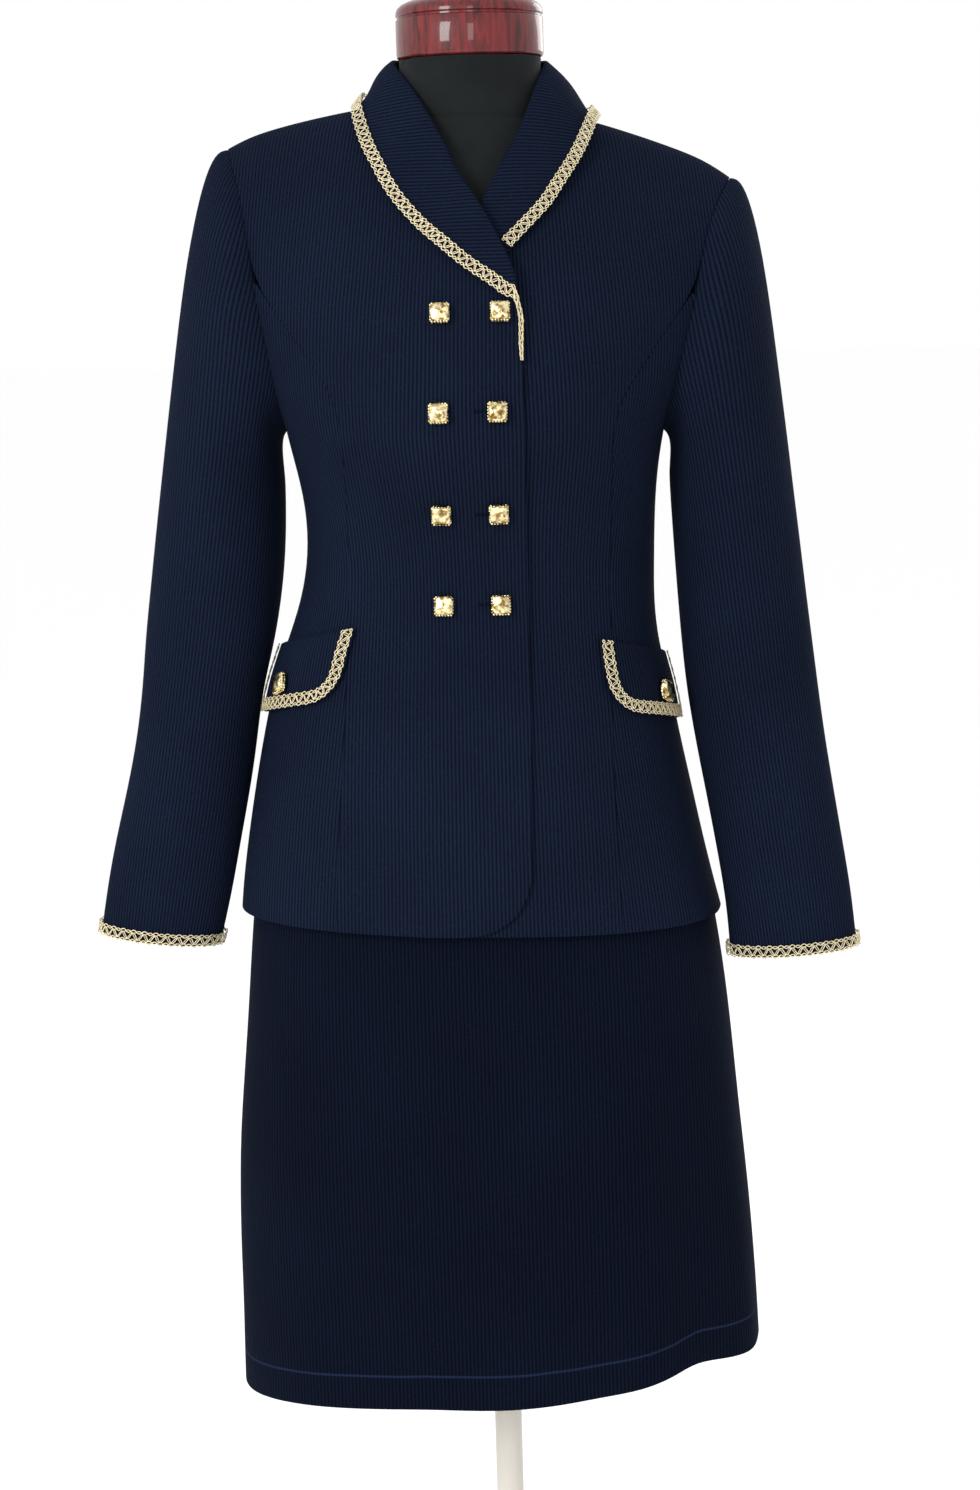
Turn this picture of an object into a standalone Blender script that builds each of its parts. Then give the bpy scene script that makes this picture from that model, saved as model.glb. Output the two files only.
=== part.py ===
"""Double-breasted knit skirt suit on a limbless dress form, in metres.

X is the viewer's right, the front faces -Y and +Z is up. The origin is the centre of the base's
underside. The wearer's right is the viewer's left, so right_front is at -X and laps over left_front.

The jacket is one smooth outer surface, cut into panels along its seams. A place on it is a level
and a turn. A level below zero is metres below the underarm, and from 0 to 1 it is the share of the
rise from the underarm to the shoulder line. A turn is the angle round the body, 0 at the centre
front, positive towards +X and 180 degrees at the centre back.
"""

import math

import bmesh
import bpy
from mathutils import Matrix, Vector

# Cloth
WALL = 0.002                # knit cloth
SEAM_GAP = 0.0004           # between pieces that are sewn edge to edge
LAY_GAP = 0.0008            # between a panel and what lies on it
SQUARENESS = 2.3            # of the body's oval sections, 2 is an ellipse

# Jacket
UNDERARM = 1.248            # height of the underarm
HEM_LEVEL = -0.392
SIDE_PANEL_TOP = 0.5        # level where the princess seam runs into the armhole
LEAN = 0.025                # drop towards +X, for each metre across
SHOULDER_TILT = 0.05        # what the shoulder line adds to that drop
RIDGE_BACK = 0.008          # how far behind the underarm the shoulder line lies
FRONT_ARCH = 1.6            # roundness of the chest between bust and shoulder
BACK_ARCH = 2.0
FRONT_AT_NECK = 0.60        # depth lost beside the neck, where the surface does not close over
FRONT_NECK_POWER = 1.15
BACK_AT_NECK = 0.45
BACK_NECK_POWER = 2.0
NECK_ZONE = (0.076, 0.035)  # distances from the centre where the shoulder's shape gives way to the neck's
SHOULDER_RISE = 0.265       # from the underarm to the shoulder, where tables are read by rise
SIDE_PANEL_TIP = 0.008      # what the side panel keeps at its top, in radians round the body
CORNER_RADIUS = 0.050       # lower front corner of the overlapping front
CORNER_ZONE = 0.11          # rows this near the hem give way to the corner
LIFT_FADE = (0.042, 0.010)  # the overlap settles on the body between these distances past the edge beneath

# Trimmings
BRAID_WIDTH = 0.011
BRAID_HEIGHT = 0.0016
BUTTON_GAP = 0.0016         # room for the shank's thread
BUTTON_SIZE = 0.017
BUTTON_DEPTH = 0.0062
BUTTON_EDGE = 0.0018
BUTTON_DOME = 0.0016
FLAP_LENGTH = 0.118
FLAP_TURN_STEP = 0.03       # radians between the places at which a flap's length is measured
FLAP_DROP = 0.056
FLAP_RADIUS = 0.024
FLAP_SLOPE = 0.20
FLAP_GAP = 0.0016
BRAID_SHOULDER = 0.55       # share of the half width at which the braid's dome begins
BRAID_CREST = 1.15          # height of the dome's middle over its shoulders
CUFF_BRAID_GAP = 0.0014
CUFF_BRAID_INSET = 0.0005   # how far the braid reaches below the sleeve's edge

# Stand
BASE_RADIUS = 0.175
BASE_HEIGHT = 0.014
POLE_RADIUS = 0.0115
FIT_GAP = 0.0003
NECK_CENTRE = (-0.001, 0.006)
NECK_TOP = 1.545


class Table:
    """Rows under named columns. Each column is read as a smooth curve along the first one."""

    def __init__(self, columns, rows):
        self.keys = [row[0] for row in rows]
        self.columns = {name: [row[i] for row in rows] for i, name in enumerate(columns)}

    def secant(self, values, i):
        return (values[i + 1] - values[i]) / (self.keys[i + 1] - self.keys[i])

    def tangent(self, values, i):
        if i == 0:
            return self.secant(values, 0)
        if i == len(values) - 1:
            return self.secant(values, i - 1)
        before, after = self.secant(values, i - 1), self.secant(values, i)
        return 0.0 if before * after <= 0 else 2 * before * after / (before + after)

    def at(self, key, name):
        values = self.columns[name]
        if key <= self.keys[0]:
            return values[0]
        if key >= self.keys[-1]:
            return values[-1]
        i = max(n for n, start in enumerate(self.keys) if start <= key)
        span = self.keys[i + 1] - self.keys[i]
        return hermite(values[i], self.tangent(values, i) * span,
                       values[i + 1], self.tangent(values, i + 1) * span,
                       (key - self.keys[i]) / span)


def hermite(start, leave, end, arrive, t):
    """The cubic from start to end with those tangents, for numbers and for vectors."""
    return (start * (2 * t**3 - 3 * t**2 + 1) + leave * (t**3 - 2 * t**2 + t)
            + end * (3 * t**2 - 2 * t**3) + arrive * (t**3 - t**2))


# The body's sections, by their rise over the underarm in metres.
BODY = Table(
    ("rise", "half_width", "front", "back", "shift"), [
        (-0.392, 0.2000, 0.1370, 0.1300, -0.0110),
        (-0.348, 0.1920, 0.1330, 0.1260, -0.0140),
        (-0.298, 0.1825, 0.1280, 0.1205, -0.0145),
        (-0.248, 0.1720, 0.1215, 0.1135, -0.0150),
        (-0.208, 0.1640, 0.1155, 0.1070, -0.0140),
        (-0.178, 0.1550, 0.1105, 0.1000, -0.0125),
        (-0.148, 0.1465, 0.1065, 0.0935, -0.0085),
        (-0.118, 0.1425, 0.1045, 0.0900, -0.0040),
        (-0.085, 0.1415, 0.1080, 0.0900, -0.0020),
        (-0.058, 0.1430, 0.1165, 0.0930, -0.0025),
        (-0.032, 0.1470, 0.1270, 0.0980, -0.0040),
        (-0.010, 0.1510, 0.1345, 0.1025, -0.0050),
        (0.013, 0.1570, 0.1385, 0.1060, -0.0045),
        (0.040, 0.1680, 0.1400, 0.1085, -0.0030),
        (0.080, 0.1830, 0.1400, 0.1100, -0.0010),
        (0.132, 0.2000, 0.1400, 0.1100, 0.0000),
        (0.186, 0.2160, 0.1400, 0.1100, 0.0010),
        (0.225, 0.2310, 0.1400, 0.1100, 0.0020),
        (0.265, 0.2470, 0.1400, 0.1100, 0.0030),
    ])

SHOULDER = Table(
    ("across", "height"), [
        (0.000, 1.515), (0.068, 1.507), (0.092, 1.502), (0.126, 1.4935),
        (0.155, 1.485), (0.182, 1.4755), (0.205, 1.462), (0.250, 1.425),
    ])

# Share of the body's half width at which the armhole is cut.
ARMHOLE = Table(
    ("level", "share"), [
        (0.00, 1.000), (0.05, 0.982), (0.15, 0.943), (0.30, 0.907),
        (0.50, 0.877), (0.70, 0.846), (0.85, 0.826), (1.00, 0.820),
    ])

# The front edge, then the line from the break of the lapel to the side of the neck.
NECKLINE = Table(
    ("level", "over", "under", "lift"), [
        (-0.392, 0.0370, -0.0400, 0.0034),
        (-0.100, 0.0390, -0.0400, 0.0034),
        (0.24, 0.0405, -0.0380, 0.0048),
        (0.34, 0.0415, -0.0360, 0.0080),
        (0.40, 0.0385, -0.0300, 0.0085),
        (0.428, 0.0345, -0.0245, 0.0090),
        (0.492, 0.0280, -0.0175, 0.0095),
        (0.561, 0.0200, -0.0080, 0.0095),
        (0.623, 0.0095, 0.0030, 0.0095),
        (0.672, 0.0000, 0.0100, 0.0095),
        (0.745, -0.0090, 0.0195, 0.0060),
        (0.817, -0.0155, 0.0275, 0.0012),
        (0.870, -0.0265, 0.0370, 0.0000),
        (0.920, -0.0440, 0.0525, 0.0000),
        (0.965, -0.0600, 0.0690, 0.0000),
        (1.000, -0.0720, 0.0790, 0.0000),
    ])

PRINCESS = Table(
    ("rise", "at_left", "at_right"), [
        (-0.392, -0.1210, 0.1080),
        (-0.298, -0.1150, 0.1050),
        (-0.208, -0.1085, 0.1030),
        (-0.130, -0.1055, 0.1040),
        (-0.036, -0.1030, 0.1065),
        (0.000, -0.1035, 0.1085),
        (0.029, -0.1090, 0.1145),
        (0.053, -0.1210, 0.1270),
        (0.074, -0.1360, 0.1410),
        (0.093, -0.1490, 0.1500),
        (0.111, -0.1610, 0.1610),
        (0.1325, -0.1730, 0.1730),
    ])

LOW_LEVELS = (-0.392, -0.368, -0.335, -0.295, -0.250, -0.208, -0.172, -0.138, -0.100, -0.060, -0.025)
ARMHOLE_STEPS = 12          # from the underarm to the shoulder, in the panels and the sleeves alike
HIGH_LEVELS = tuple((1 - math.cos(math.pi * i / ARMHOLE_STEPS)) / 2 for i in range(ARMHOLE_STEPS + 1))
SIDE_LEVELS = LOW_LEVELS + HIGH_LEVELS[:ARMHOLE_STEPS // 2 + 1]
ALL_LEVELS = LOW_LEVELS + HIGH_LEVELS
# Columns of each panel, as shares of its width. They are closer where the panel bends most.
RIGHT_FRONT_COLUMNS = (0.0, 0.18, 0.34, 0.48, 0.58, 0.67, 0.76, 0.85, 0.93, 0.98, 1.0)
LEFT_FRONT_COLUMNS = tuple(i / 8 for i in range(9))
SIDE_FRONT_COLUMNS = tuple(i / 7 for i in range(8))
BACK_COLUMNS = (0, 0.05, 0.11, 0.18, 0.26, 0.35, 0.45, 0.55, 0.65, 0.74, 0.82, 0.89, 0.95, 1)
FLAP_COLUMNS = (0.0, 0.015, 0.05, 0.11, 0.20, 0.35, 0.50, 0.65, 0.80, 0.89, 0.95, 0.985, 1.0)
FLAP_ROWS = (1.0, 0.75, 0.5, 0.25, 0.0)
NECK_LEVEL = 0.93           # of the back neck seam, on the centre line
NECK_HALF_WIDTH = 0.074
SHAPING_FLOOR = 0.6         # above this level the back's rows give way to the neck

SLEEVE_AT_LEFT = Table(
    ("height", "across", "along", "half_width", "half_depth"), [
        (0.838, 0.2765, -0.030, 0.0500, 0.031),
        (0.866, 0.2705, -0.028, 0.0520, 0.034),
        (0.899, 0.2640, -0.025, 0.0520, 0.038),
        (0.948, 0.2525, -0.020, 0.0512, 0.043),
        (1.000, 0.2420, -0.014, 0.0500, 0.047),
        (1.040, 0.2365, -0.010, 0.0500, 0.050),
        (1.083, 0.2285, -0.006, 0.0540, 0.053),
        (1.148, 0.2190, -0.002, 0.0550, 0.058),
        (1.205, 0.2135, 0.000, 0.0520, 0.061),
    ])

SLEEVE_AT_RIGHT = Table(
    ("height", "across", "along", "half_width", "half_depth"), [
        (0.820, 0.2470, -0.032, 0.0525, 0.031),
        (0.850, 0.2455, -0.029, 0.0520, 0.034),
        (0.900, 0.2380, -0.025, 0.0520, 0.039),
        (0.976, 0.2255, -0.017, 0.0530, 0.045),
        (1.026, 0.2180, -0.012, 0.0540, 0.049),
        (1.092, 0.2115, -0.006, 0.0535, 0.054),
        (1.157, 0.2060, -0.002, 0.0520, 0.058),
        (1.205, 0.2020, 0.000, 0.0505, 0.061),
    ])
SLEEVE_CUFF_TILT = {"at_left": 0.12, "at_right": 0.065}
SLEEVE_SIDES = 2 * ARMHOLE_STEPS
SLEEVE_CAP_STEPS = (0.0, 0.10, 0.22, 0.38, 0.56, 0.78)
SLEEVE_ARM_STEPS = 9
# How the sleeve head leaves the armhole: outwards at the shoulder, what the underarm adds, away from the
# armhole's middle, and down.
SLEEVE_LEAVES = {"out": 0.30, "at_underarm": 0.35, "radial": 0.35, "down": 0.15}

SKIRT = Table(
    ("height", "half_width", "front", "back", "shift"), [
        (0.450, 0.2210, 0.126, 0.124, -0.0040),
        (0.524, 0.2190, 0.127, 0.125, -0.0050),
        (0.600, 0.2165, 0.128, 0.126, -0.0075),
        (0.665, 0.2120, 0.129, 0.126, -0.0090),
        (0.734, 0.2050, 0.129, 0.125, -0.0080),
        (0.806, 0.1985, 0.129, 0.123, -0.0085),
        (0.856, 0.1940, 0.128, 0.121, -0.0095),
        (0.900, 0.1840, 0.126, 0.118, -0.0110),
        (0.950, 0.1750, 0.121, 0.113, -0.0120),
        (1.000, 0.1655, 0.1150, 0.107, -0.0130),
        (1.060, 0.1490, 0.104, 0.093, -0.0125),
        (1.100, 0.1360, 0.098, 0.084, -0.0075),
        (1.130, 0.1320, 0.0955, 0.081, -0.0045),
    ])
SKIRT_TOP = 1.0995
SKIRT_ROWS = 9
SKIRT_COLUMNS = 18
WAISTBAND_HEIGHT = 0.030

# Height of the skirt's hem across the front.
SKIRT_HEM = Table(
    ("across", "height"), [
        (-0.230, 0.4470), (-0.170, 0.4530), (-0.116, 0.4560), (-0.053, 0.4600), (0.000, 0.4585),
        (0.083, 0.4670), (0.130, 0.4710), (0.164, 0.4830), (0.205, 0.4790), (0.225, 0.4810),
    ])

# Soft folds of the skirt: turn and half width in degrees, depth at the hem, height where it ends.
SKIRT_FOLDS = [
    {"turn": 50, "spread": 13, "depth": -0.0105, "ends": 0.90},
    {"turn": 70, "spread": 12, "depth": 0.0035, "ends": 0.85},
    {"turn": 6, "spread": 13, "depth": 0.0030, "ends": 0.62},
    {"turn": -28, "spread": 12, "depth": -0.0025, "ends": 0.60},
    {"turn": 118, "spread": 16, "depth": -0.0070, "ends": 0.84},
    {"turn": -140, "spread": 18, "depth": -0.0060, "ends": 0.78},
    {"turn": 178, "spread": 20, "depth": 0.0030, "ends": 0.70},
]

TORSO = Table(
    ("height", "half_width", "front", "back", "shift"), [
        (0.838, 0.1560, 0.098, 0.094, -0.0100),
        (0.850, 0.1720, 0.110, 0.104, -0.0100),
        (0.880, 0.1740, 0.113, 0.106, -0.0105),
        (0.950, 0.1670, 0.111, 0.103, -0.0120),
        (1.000, 0.1580, 0.107, 0.099, -0.0130),
        (1.060, 0.1420, 0.097, 0.086, -0.0125),
        (1.100, 0.1300, 0.091, 0.077, -0.0075),
        (1.130, 0.1265, 0.089, 0.074, -0.0045),
        (1.163, 0.1300, 0.095, 0.078, -0.0015),
        (1.200, 0.1350, 0.107, 0.086, -0.0025),
        (1.248, 0.1430, 0.125, 0.100, -0.0050),
        (1.300, 0.1510, 0.117, 0.098, -0.0030),
        (1.340, 0.1560, 0.104, 0.095, -0.0020),
        (1.380, 0.1570, 0.090, 0.088, -0.0010),
        (1.410, 0.1530, 0.078, 0.080, 0.0000),
        (1.435, 0.1400, 0.0660, 0.073, 0.0000),
        (1.452, 0.1130, 0.0580, 0.0670, 0.0000),
        (1.466, 0.0830, 0.0530, 0.0640, -0.0005),
        (1.478, 0.0660, 0.0510, 0.0630, -0.0010),
        (1.490, 0.0590, 0.0500, 0.0620, -0.0010),
        (1.504, 0.0560, 0.0500, 0.0620, -0.0010),
        (1.522, 0.0560, 0.0505, 0.0620, -0.0010),
        (1.545, 0.0575, 0.0515, 0.0635, -0.0010),
    ])
NECK_FOOT = 1.450           # above this the torso's sections turn from square ovals to round
TORSO_SIDES = 28
TORSO_LEVELS = 24

# Outer edge of the shawl collar, where it lies on the fronts, for each section by the level of its seam.
LAPEL_COLUMNS = ("level", "x", "z")
LAPEL_EDGES = {
    "over": Table(LAPEL_COLUMNS, [
        (0.430, 0.0325, 1.3495), (0.455, 0.0245, 1.3530), (0.492, 0.0150, 1.3605),
        (0.561, -0.0060, 1.3755), (0.623, -0.0250, 1.3920), (0.672, -0.0420, 1.4095),
        (0.745, -0.0590, 1.4285), (0.800, -0.0690, 1.4430), (0.840, -0.0765, 1.4560),
        (0.880, -0.0835, 1.4680), (0.920, -0.0885, 1.4790), (0.965, -0.0925, 1.4930),
        (0.985, -0.0935, 1.5010)]),
    "under": Table(LAPEL_COLUMNS, [
        (0.428, -0.0150, 1.3510), (0.492, -0.0060, 1.3605), (0.561, 0.0150, 1.3755),
        (0.623, 0.0320, 1.3920), (0.672, 0.0475, 1.4070), (0.745, 0.0630, 1.4235), (0.800, 0.0720, 1.4370),
        (0.840, 0.0800, 1.4480), (0.880, 0.0865, 1.4585), (0.920, 0.0915, 1.4690), (0.970, 0.0963, 1.4835)]),
}
# Roll line of the collar where it stands away from the fronts.
ROLL_COLUMNS = ("level", "x", "y", "z")
LAPEL_ROLLS = {
    "over": Table(ROLL_COLUMNS, [
        (0.745, -0.0062, -0.0790, 1.4460), (0.800, -0.0125, -0.0735, 1.4600),
        (0.840, -0.0180, -0.0685, 1.4735), (0.880, -0.0250, -0.0630, 1.4865),
        (0.920, -0.0345, -0.0535, 1.5040), (0.965, -0.0515, -0.0300, 1.5310),
        (0.985, -0.0603, -0.0110, 1.5400)]),
    "under": Table(ROLL_COLUMNS, [
        (0.745, 0.0171, -0.0800, 1.4440), (0.800, 0.0240, -0.0740, 1.4560),
        (0.840, 0.0300, -0.0680, 1.4670), (0.880, 0.0375, -0.0600, 1.4810),
        (0.920, 0.0450, -0.0485, 1.4985), (0.970, 0.0550, -0.0220, 1.5285)]),
}
ROLL_STARTS, ROLL_STANDS = 0.72, 0.88       # levels between which the collar leaves the fronts
# Round the back of the neck, by angle from the front.
COLLAR_NECK = Table(
    ("angle", "edge_across", "edge_level", "roll_r", "roll_z"), [
        (90, 0.0955, 0.993, 0.0610, 1.5445),
        (120, 0.0800, 0.950, 0.0625, 1.5465),
        (150, 0.0443, 0.905, 0.0634, 1.5480),
        (180, 0.0000, 0.890, 0.0636, 1.5485),
    ])
NECK_ANGLES = (90, 105, 120, 135, 150, 165, 180)
COLLAR_CENTRES = {"seam": 0.0035, "roll": -0.0015, "edge": 0.0027}
NECK_SEAM_RADIUS = 0.0755
ROLL_TILT = 0.034           # drop of the roll towards +X, for each metre across
# The collar's gap over the cloth, its neck side past the cloth's edge and below it, its roll's radius.
LAID_COLLAR = {"gap": 0.0020, "overhang": 0.0028, "foot": 0.0020, "radius": 0.0031}
STANDING_COLLAR = {"gap": 0.0044, "overhang": 0.0040, "foot": 0.0020, "radius": 0.0034}
LAID_CREST = (-0.0018, 0.0042)              # of the roll: past the edge, and off the cloth
ROLL_STEPS = 3
ROLL_CENTRE_SHARE = 0.7     # of the roll's radius, from its crest to its centre, both ways
FALL_BULGE = 0.0030
FULL_BULGE_RISE = 0.030     # a lower roll has a flatter fall
BRAID_ROOM = 0.0125         # flat along the outer edge, for the braid
LAID_SHARES = (0.7, 0.1)    # between these shares of its width the collar settles on the cloth below
# How far each point of a section, from foot to edge, goes with the roll along the neck.
SECTION_TWISTS = (0.0, 0.5, 1.0, 1.0, 1.0, 1.0, 0.7, 0.4, 0.2, 0.0)

# The braid's narrow end, which runs down the front edge from the break of the lapel.
BRAID_END = Table(
    ("level", "width"), [(0.225, 0.0025), (0.270, 0.0040), (0.315, 0.0045), (0.355, 0.0050)])
COLLAR_BRAID_GAP = 0.0020
BRAID_HIDDEN_SECTIONS = 3


def lerp(a, b, t):
    return a + (b - a) * t


def smoothstep(start, end, value):
    t = min(max((value - start) / (end - start), 0.0), 1.0)
    return t * t * (3 - 2 * t)


def signed_power(value, power):
    return math.copysign(abs(value) ** power, value)


def oval(turn, half_width, front, back, squareness=SQUARENESS):
    """A point of a body section, as x and y from its centre."""
    x = half_width * signed_power(math.sin(turn), 2 / squareness)
    depth = front if math.cos(turn) > 0 else back
    return x, -depth * signed_power(math.cos(turn), 2 / squareness)


# The jacket's outer surface

def arch(level, x, is_front):
    """How much of the bust's depth is left at this level, before the shoulder line is reached."""
    if is_front:
        power, beside_neck = FRONT_ARCH, 1 - FRONT_AT_NECK * level**FRONT_NECK_POWER
    else:
        power, beside_neck = BACK_ARCH, 1 - BACK_AT_NECK * level**BACK_NECK_POWER
    over_shoulder = max(1 - level**power, 0.0) ** (1 / power)
    return lerp(over_shoulder, beside_neck, smoothstep(*NECK_ZONE, abs(x)))


def rise_of(level):
    """The rise over the underarm, in metres, at which the tables of the body are read for a level."""
    return level if level < 0 else level * SHOULDER_RISE


def jacket_surface(level, turn):
    rise, share = rise_of(level), max(level, 0.0)
    x, y = oval(turn, BODY.at(rise, "half_width"), BODY.at(rise, "front"), BODY.at(rise, "back"))
    x += BODY.at(rise, "shift")
    y = y * arch(share, x, math.cos(turn) > 0) + RIDGE_BACK * share
    z = UNDERARM + min(level, 0.0) - LEAN * x
    z += share * (SHOULDER.at(abs(x), "height") - UNDERARM - SHOULDER_TILT * x)
    return Vector((x, y, z))


def jacket_normal(level, turn):
    step = 0.002
    across = jacket_surface(level, turn + step) - jacket_surface(level, turn - step)
    along = jacket_surface(min(level + step, 1.0), turn) - jacket_surface(level - step, turn)
    return across.cross(along).normalized()


def turn_at(level, x, at_back=False):
    """The turn where the surface crosses this x."""
    rise = rise_of(level)
    share = (x - BODY.at(rise, "shift")) / BODY.at(rise, "half_width")
    turn = math.asin(min(abs(share), 1.0) ** (SQUARENESS / 2))
    return math.copysign(math.pi - turn if at_back else turn, share)


def level_at(x, z):
    height = SHOULDER.at(abs(x), "height") - UNDERARM - SHOULDER_TILT * x
    rise = z - UNDERARM + LEAN * x
    return rise if rise < 0 else rise / height


def armhole_turn(level, side, at_back=False):
    turn = math.asin(ARMHOLE.at(level, "share") ** (SQUARENESS / 2)) if level > 0 else math.pi / 2
    return side * (math.pi - turn if at_back else turn)


def overlap_lift(level, x):
    """How far the overlapping front stands out over what is under it."""
    under_edge = NECKLINE.at(level, "under")
    return NECKLINE.at(level, "lift") * smoothstep(under_edge - LIFT_FADE[0], under_edge - LIFT_FADE[1], x)


def on_back(level, x, offset=0.0):
    turn = turn_at(level, x, at_back=True)
    return jacket_surface(level, turn) + jacket_normal(level, turn) * offset


def on_front(level, x, offset=0.0, over=False):
    """A point on the front, moved out by offset, on the overlapping front where over is set."""
    turn = turn_at(level, x)
    lift = overlap_lift(level, x) if over else 0.0
    return jacket_surface(level, turn) + jacket_normal(level, turn) * (offset + lift)


# Making objects

def make_material(name, colour, roughness, metallic=0.0):
    material = bpy.data.materials.new(name)
    material.use_nodes = True
    shader = material.node_tree.nodes["Principled BSDF"]
    shader.inputs["Base Color"].default_value = (*colour, 1.0)
    shader.inputs["Roughness"].default_value = roughness
    shader.inputs["Metallic"].default_value = metallic
    return material


def add_object(name, mesh, material, collection):
    mesh.materials.append(material)
    thing = bpy.data.objects.new(name, mesh)
    collection.objects.link(thing)
    return thing


def mesh_from(bm, name):
    bmesh.ops.recalc_face_normals(bm, faces=bm.faces)
    mesh = bpy.data.meshes.new(name)
    bm.to_mesh(mesh)
    bm.free()
    mesh.shade_smooth()
    return mesh


def loft_mesh(name, rows, closed=False):
    """A solid through rings of points, capped at both ends, or closed into a ring."""
    bm = bmesh.new()
    rings = [[bm.verts.new(point) for point in row] for row in rows]
    count = len(rings[0])
    for low, high in zip(rings, rings[1:] + rings[:1] if closed else rings[1:]):
        for i in range(count):
            j = (i + 1) % count
            bm.faces.new((low[i], low[j], high[j], high[i]))
    if not closed:
        bm.faces.new(rings[0])
        bm.faces.new(rings[-1])
    return mesh_from(bm, name)


def grid_normals(rows, wrap):
    """The outward normal at each point of a grid, from its neighbours."""
    normals = []
    for r, row in enumerate(rows):
        low, high = rows[max(r - 1, 0)], rows[min(r + 1, len(rows) - 1)]
        line = []
        for i in range(len(row)):
            before = row[i - 1] if wrap else row[max(i - 1, 0)]
            after = row[(i + 1) % len(row)] if wrap else row[min(i + 1, len(row) - 1)]
            line.append((after - before).cross(high[i] - low[i]).normalized())
        normals.append(line)
    return normals


def add_wall(name, outer, inner, material, collection, wrap=False):
    """Cloth between two matching grids, closed round its rims."""
    bm = bmesh.new()
    skins = [[[bm.verts.new(point) for point in row] for row in rows] for rows in (outer, inner)]
    count = len(outer[0])
    steps = count if wrap else count - 1
    for skin in skins:
        for low, high in zip(skin, skin[1:]):
            for i in range(steps):
                j = (i + 1) % count
                bm.faces.new((low[i], low[j], high[j], high[i]))
    for r in (0, -1):
        for i in range(steps):
            j = (i + 1) % count
            bm.faces.new((skins[0][r][i], skins[0][r][j], skins[1][r][j], skins[1][r][i]))
    if not wrap:
        for c in (0, -1):
            for r in range(len(outer) - 1):
                bm.faces.new((skins[0][r][c], skins[0][r + 1][c], skins[1][r + 1][c], skins[1][r][c]))
    add_object(name, mesh_from(bm, name), material, collection)


def add_cloth(name, rows, material, collection, wrap=False):
    """Cloth whose outer surface is this grid."""
    inner = [[point - normal * WALL for point, normal in zip(row, line)]
             for row, line in zip(rows, grid_normals(rows, wrap))]
    add_wall(name, rows, inner, material, collection, wrap)


def ease_ends(row, gap):
    """Draws both ends of a row back, to leave half a seam gap at each."""
    row[0] += (row[1] - row[0]).normalized() * gap
    row[-1] += (row[-2] - row[-1]).normalized() * gap


# Jacket panels

def add_panel(name, levels, left_turn, right_turn, shares, place, material, collection):
    """A panel between two seams. place gives each point of its outer surface and the normal there."""
    outer, inner = [], []
    for level in levels:
        left, right = left_turn(level), right_turn(level)
        row = [place(level, lerp(left, right, share)) for share in shares]
        outer.append([point for point, normal in row])
        inner.append([point - normal * WALL for point, normal in row])
        ease_ends(outer[-1], SEAM_GAP / 2)
        ease_ends(inner[-1], SEAM_GAP / 2)
    if levels[-1] == 1.0:
        for rows in (outer, inner):
            rows[-1] = [point + (below - point).normalized() * SEAM_GAP
                        for point, below in zip(rows[-1], rows[-2])]
    return add_wall(name, outer, inner, material, collection)


def plain_place(level, turn):
    return jacket_surface(level, turn), jacket_normal(level, turn)


def princess_turn(level, side, seam):
    """The princess seam up to the armhole, and from there the armhole."""
    if level > SIDE_PANEL_TOP:
        return armhole_turn(level, side)
    if level == SIDE_PANEL_TOP:
        return armhole_turn(level, side) - side * SIDE_PANEL_TIP
    return turn_at(level, PRINCESS.at(rise_of(level), seam))


def corner_level(level, x):
    """Rows near the hem, bent round the lower corner of the overlapping front."""
    centre = NECKLINE.at(HEM_LEVEL, "over") - CORNER_RADIUS
    reach = min(max(x - centre, 0.0), CORNER_RADIUS)
    raised = CORNER_RADIUS - math.sqrt(CORNER_RADIUS**2 - reach**2)
    share = min((level - HEM_LEVEL) / CORNER_ZONE, 1.0)
    return level + raised * (1 - share)


def make_right_front(material, collection):
    def place(level, turn):
        x = jacket_surface(level, turn).x
        bent = corner_level(level, x)
        turn = turn_at(bent, x)
        normal = jacket_normal(bent, turn)
        return jacket_surface(bent, turn) + normal * overlap_lift(bent, x), normal

    add_panel("right_front", ALL_LEVELS,
              lambda level: princess_turn(level, -1, "at_left"),
              lambda level: turn_at(level, NECKLINE.at(level, "over")),
              RIGHT_FRONT_COLUMNS, place, material, collection)


def make_left_front(material, collection):
    add_panel("left_front", ALL_LEVELS,
              lambda level: turn_at(level, NECKLINE.at(level, "under")),
              lambda level: princess_turn(level, 1, "at_right"),
              LEFT_FRONT_COLUMNS, plain_place, material, collection)


def make_side_front(name, side, seam, material, collection):
    def seams(level):
        turns = princess_turn(level, side, seam), armhole_turn(level, side)
        return turns if side > 0 else turns[::-1]

    add_panel(name, SIDE_LEVELS, lambda level: seams(level)[0], lambda level: seams(level)[1],
              SIDE_FRONT_COLUMNS, plain_place, material, collection)


def back_top(x):
    """The level where the back ends, at the shoulder seam or round the neck."""
    near_neck = max(1 - (x / NECK_HALF_WIDTH) ** 2, 0.0)
    return lerp(1.0, NECK_LEVEL, near_neck)


def make_back(material, collection):
    def place(level, turn):
        top = back_top(jacket_surface(level, turn).x)
        if level > SHAPING_FLOOR:
            level = lerp(SHAPING_FLOOR, top, (level - SHAPING_FLOOR) / (1 - SHAPING_FLOOR))
        return plain_place(level, turn)

    add_panel("back", ALL_LEVELS,
              lambda level: armhole_turn(level, 1, at_back=True),
              lambda level: 2 * math.pi + armhole_turn(level, -1, at_back=True),
              BACK_COLUMNS, place, material, collection)


# Sleeves

def armhole_point(side, angle):
    """A point round the armhole: 0 at the shoulder, 90 degrees in front, 180 at the underarm."""
    level = (1 + math.cos(angle)) / 2
    return jacket_surface(level, armhole_turn(level, side, at_back=math.sin(angle) < 0))


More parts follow.
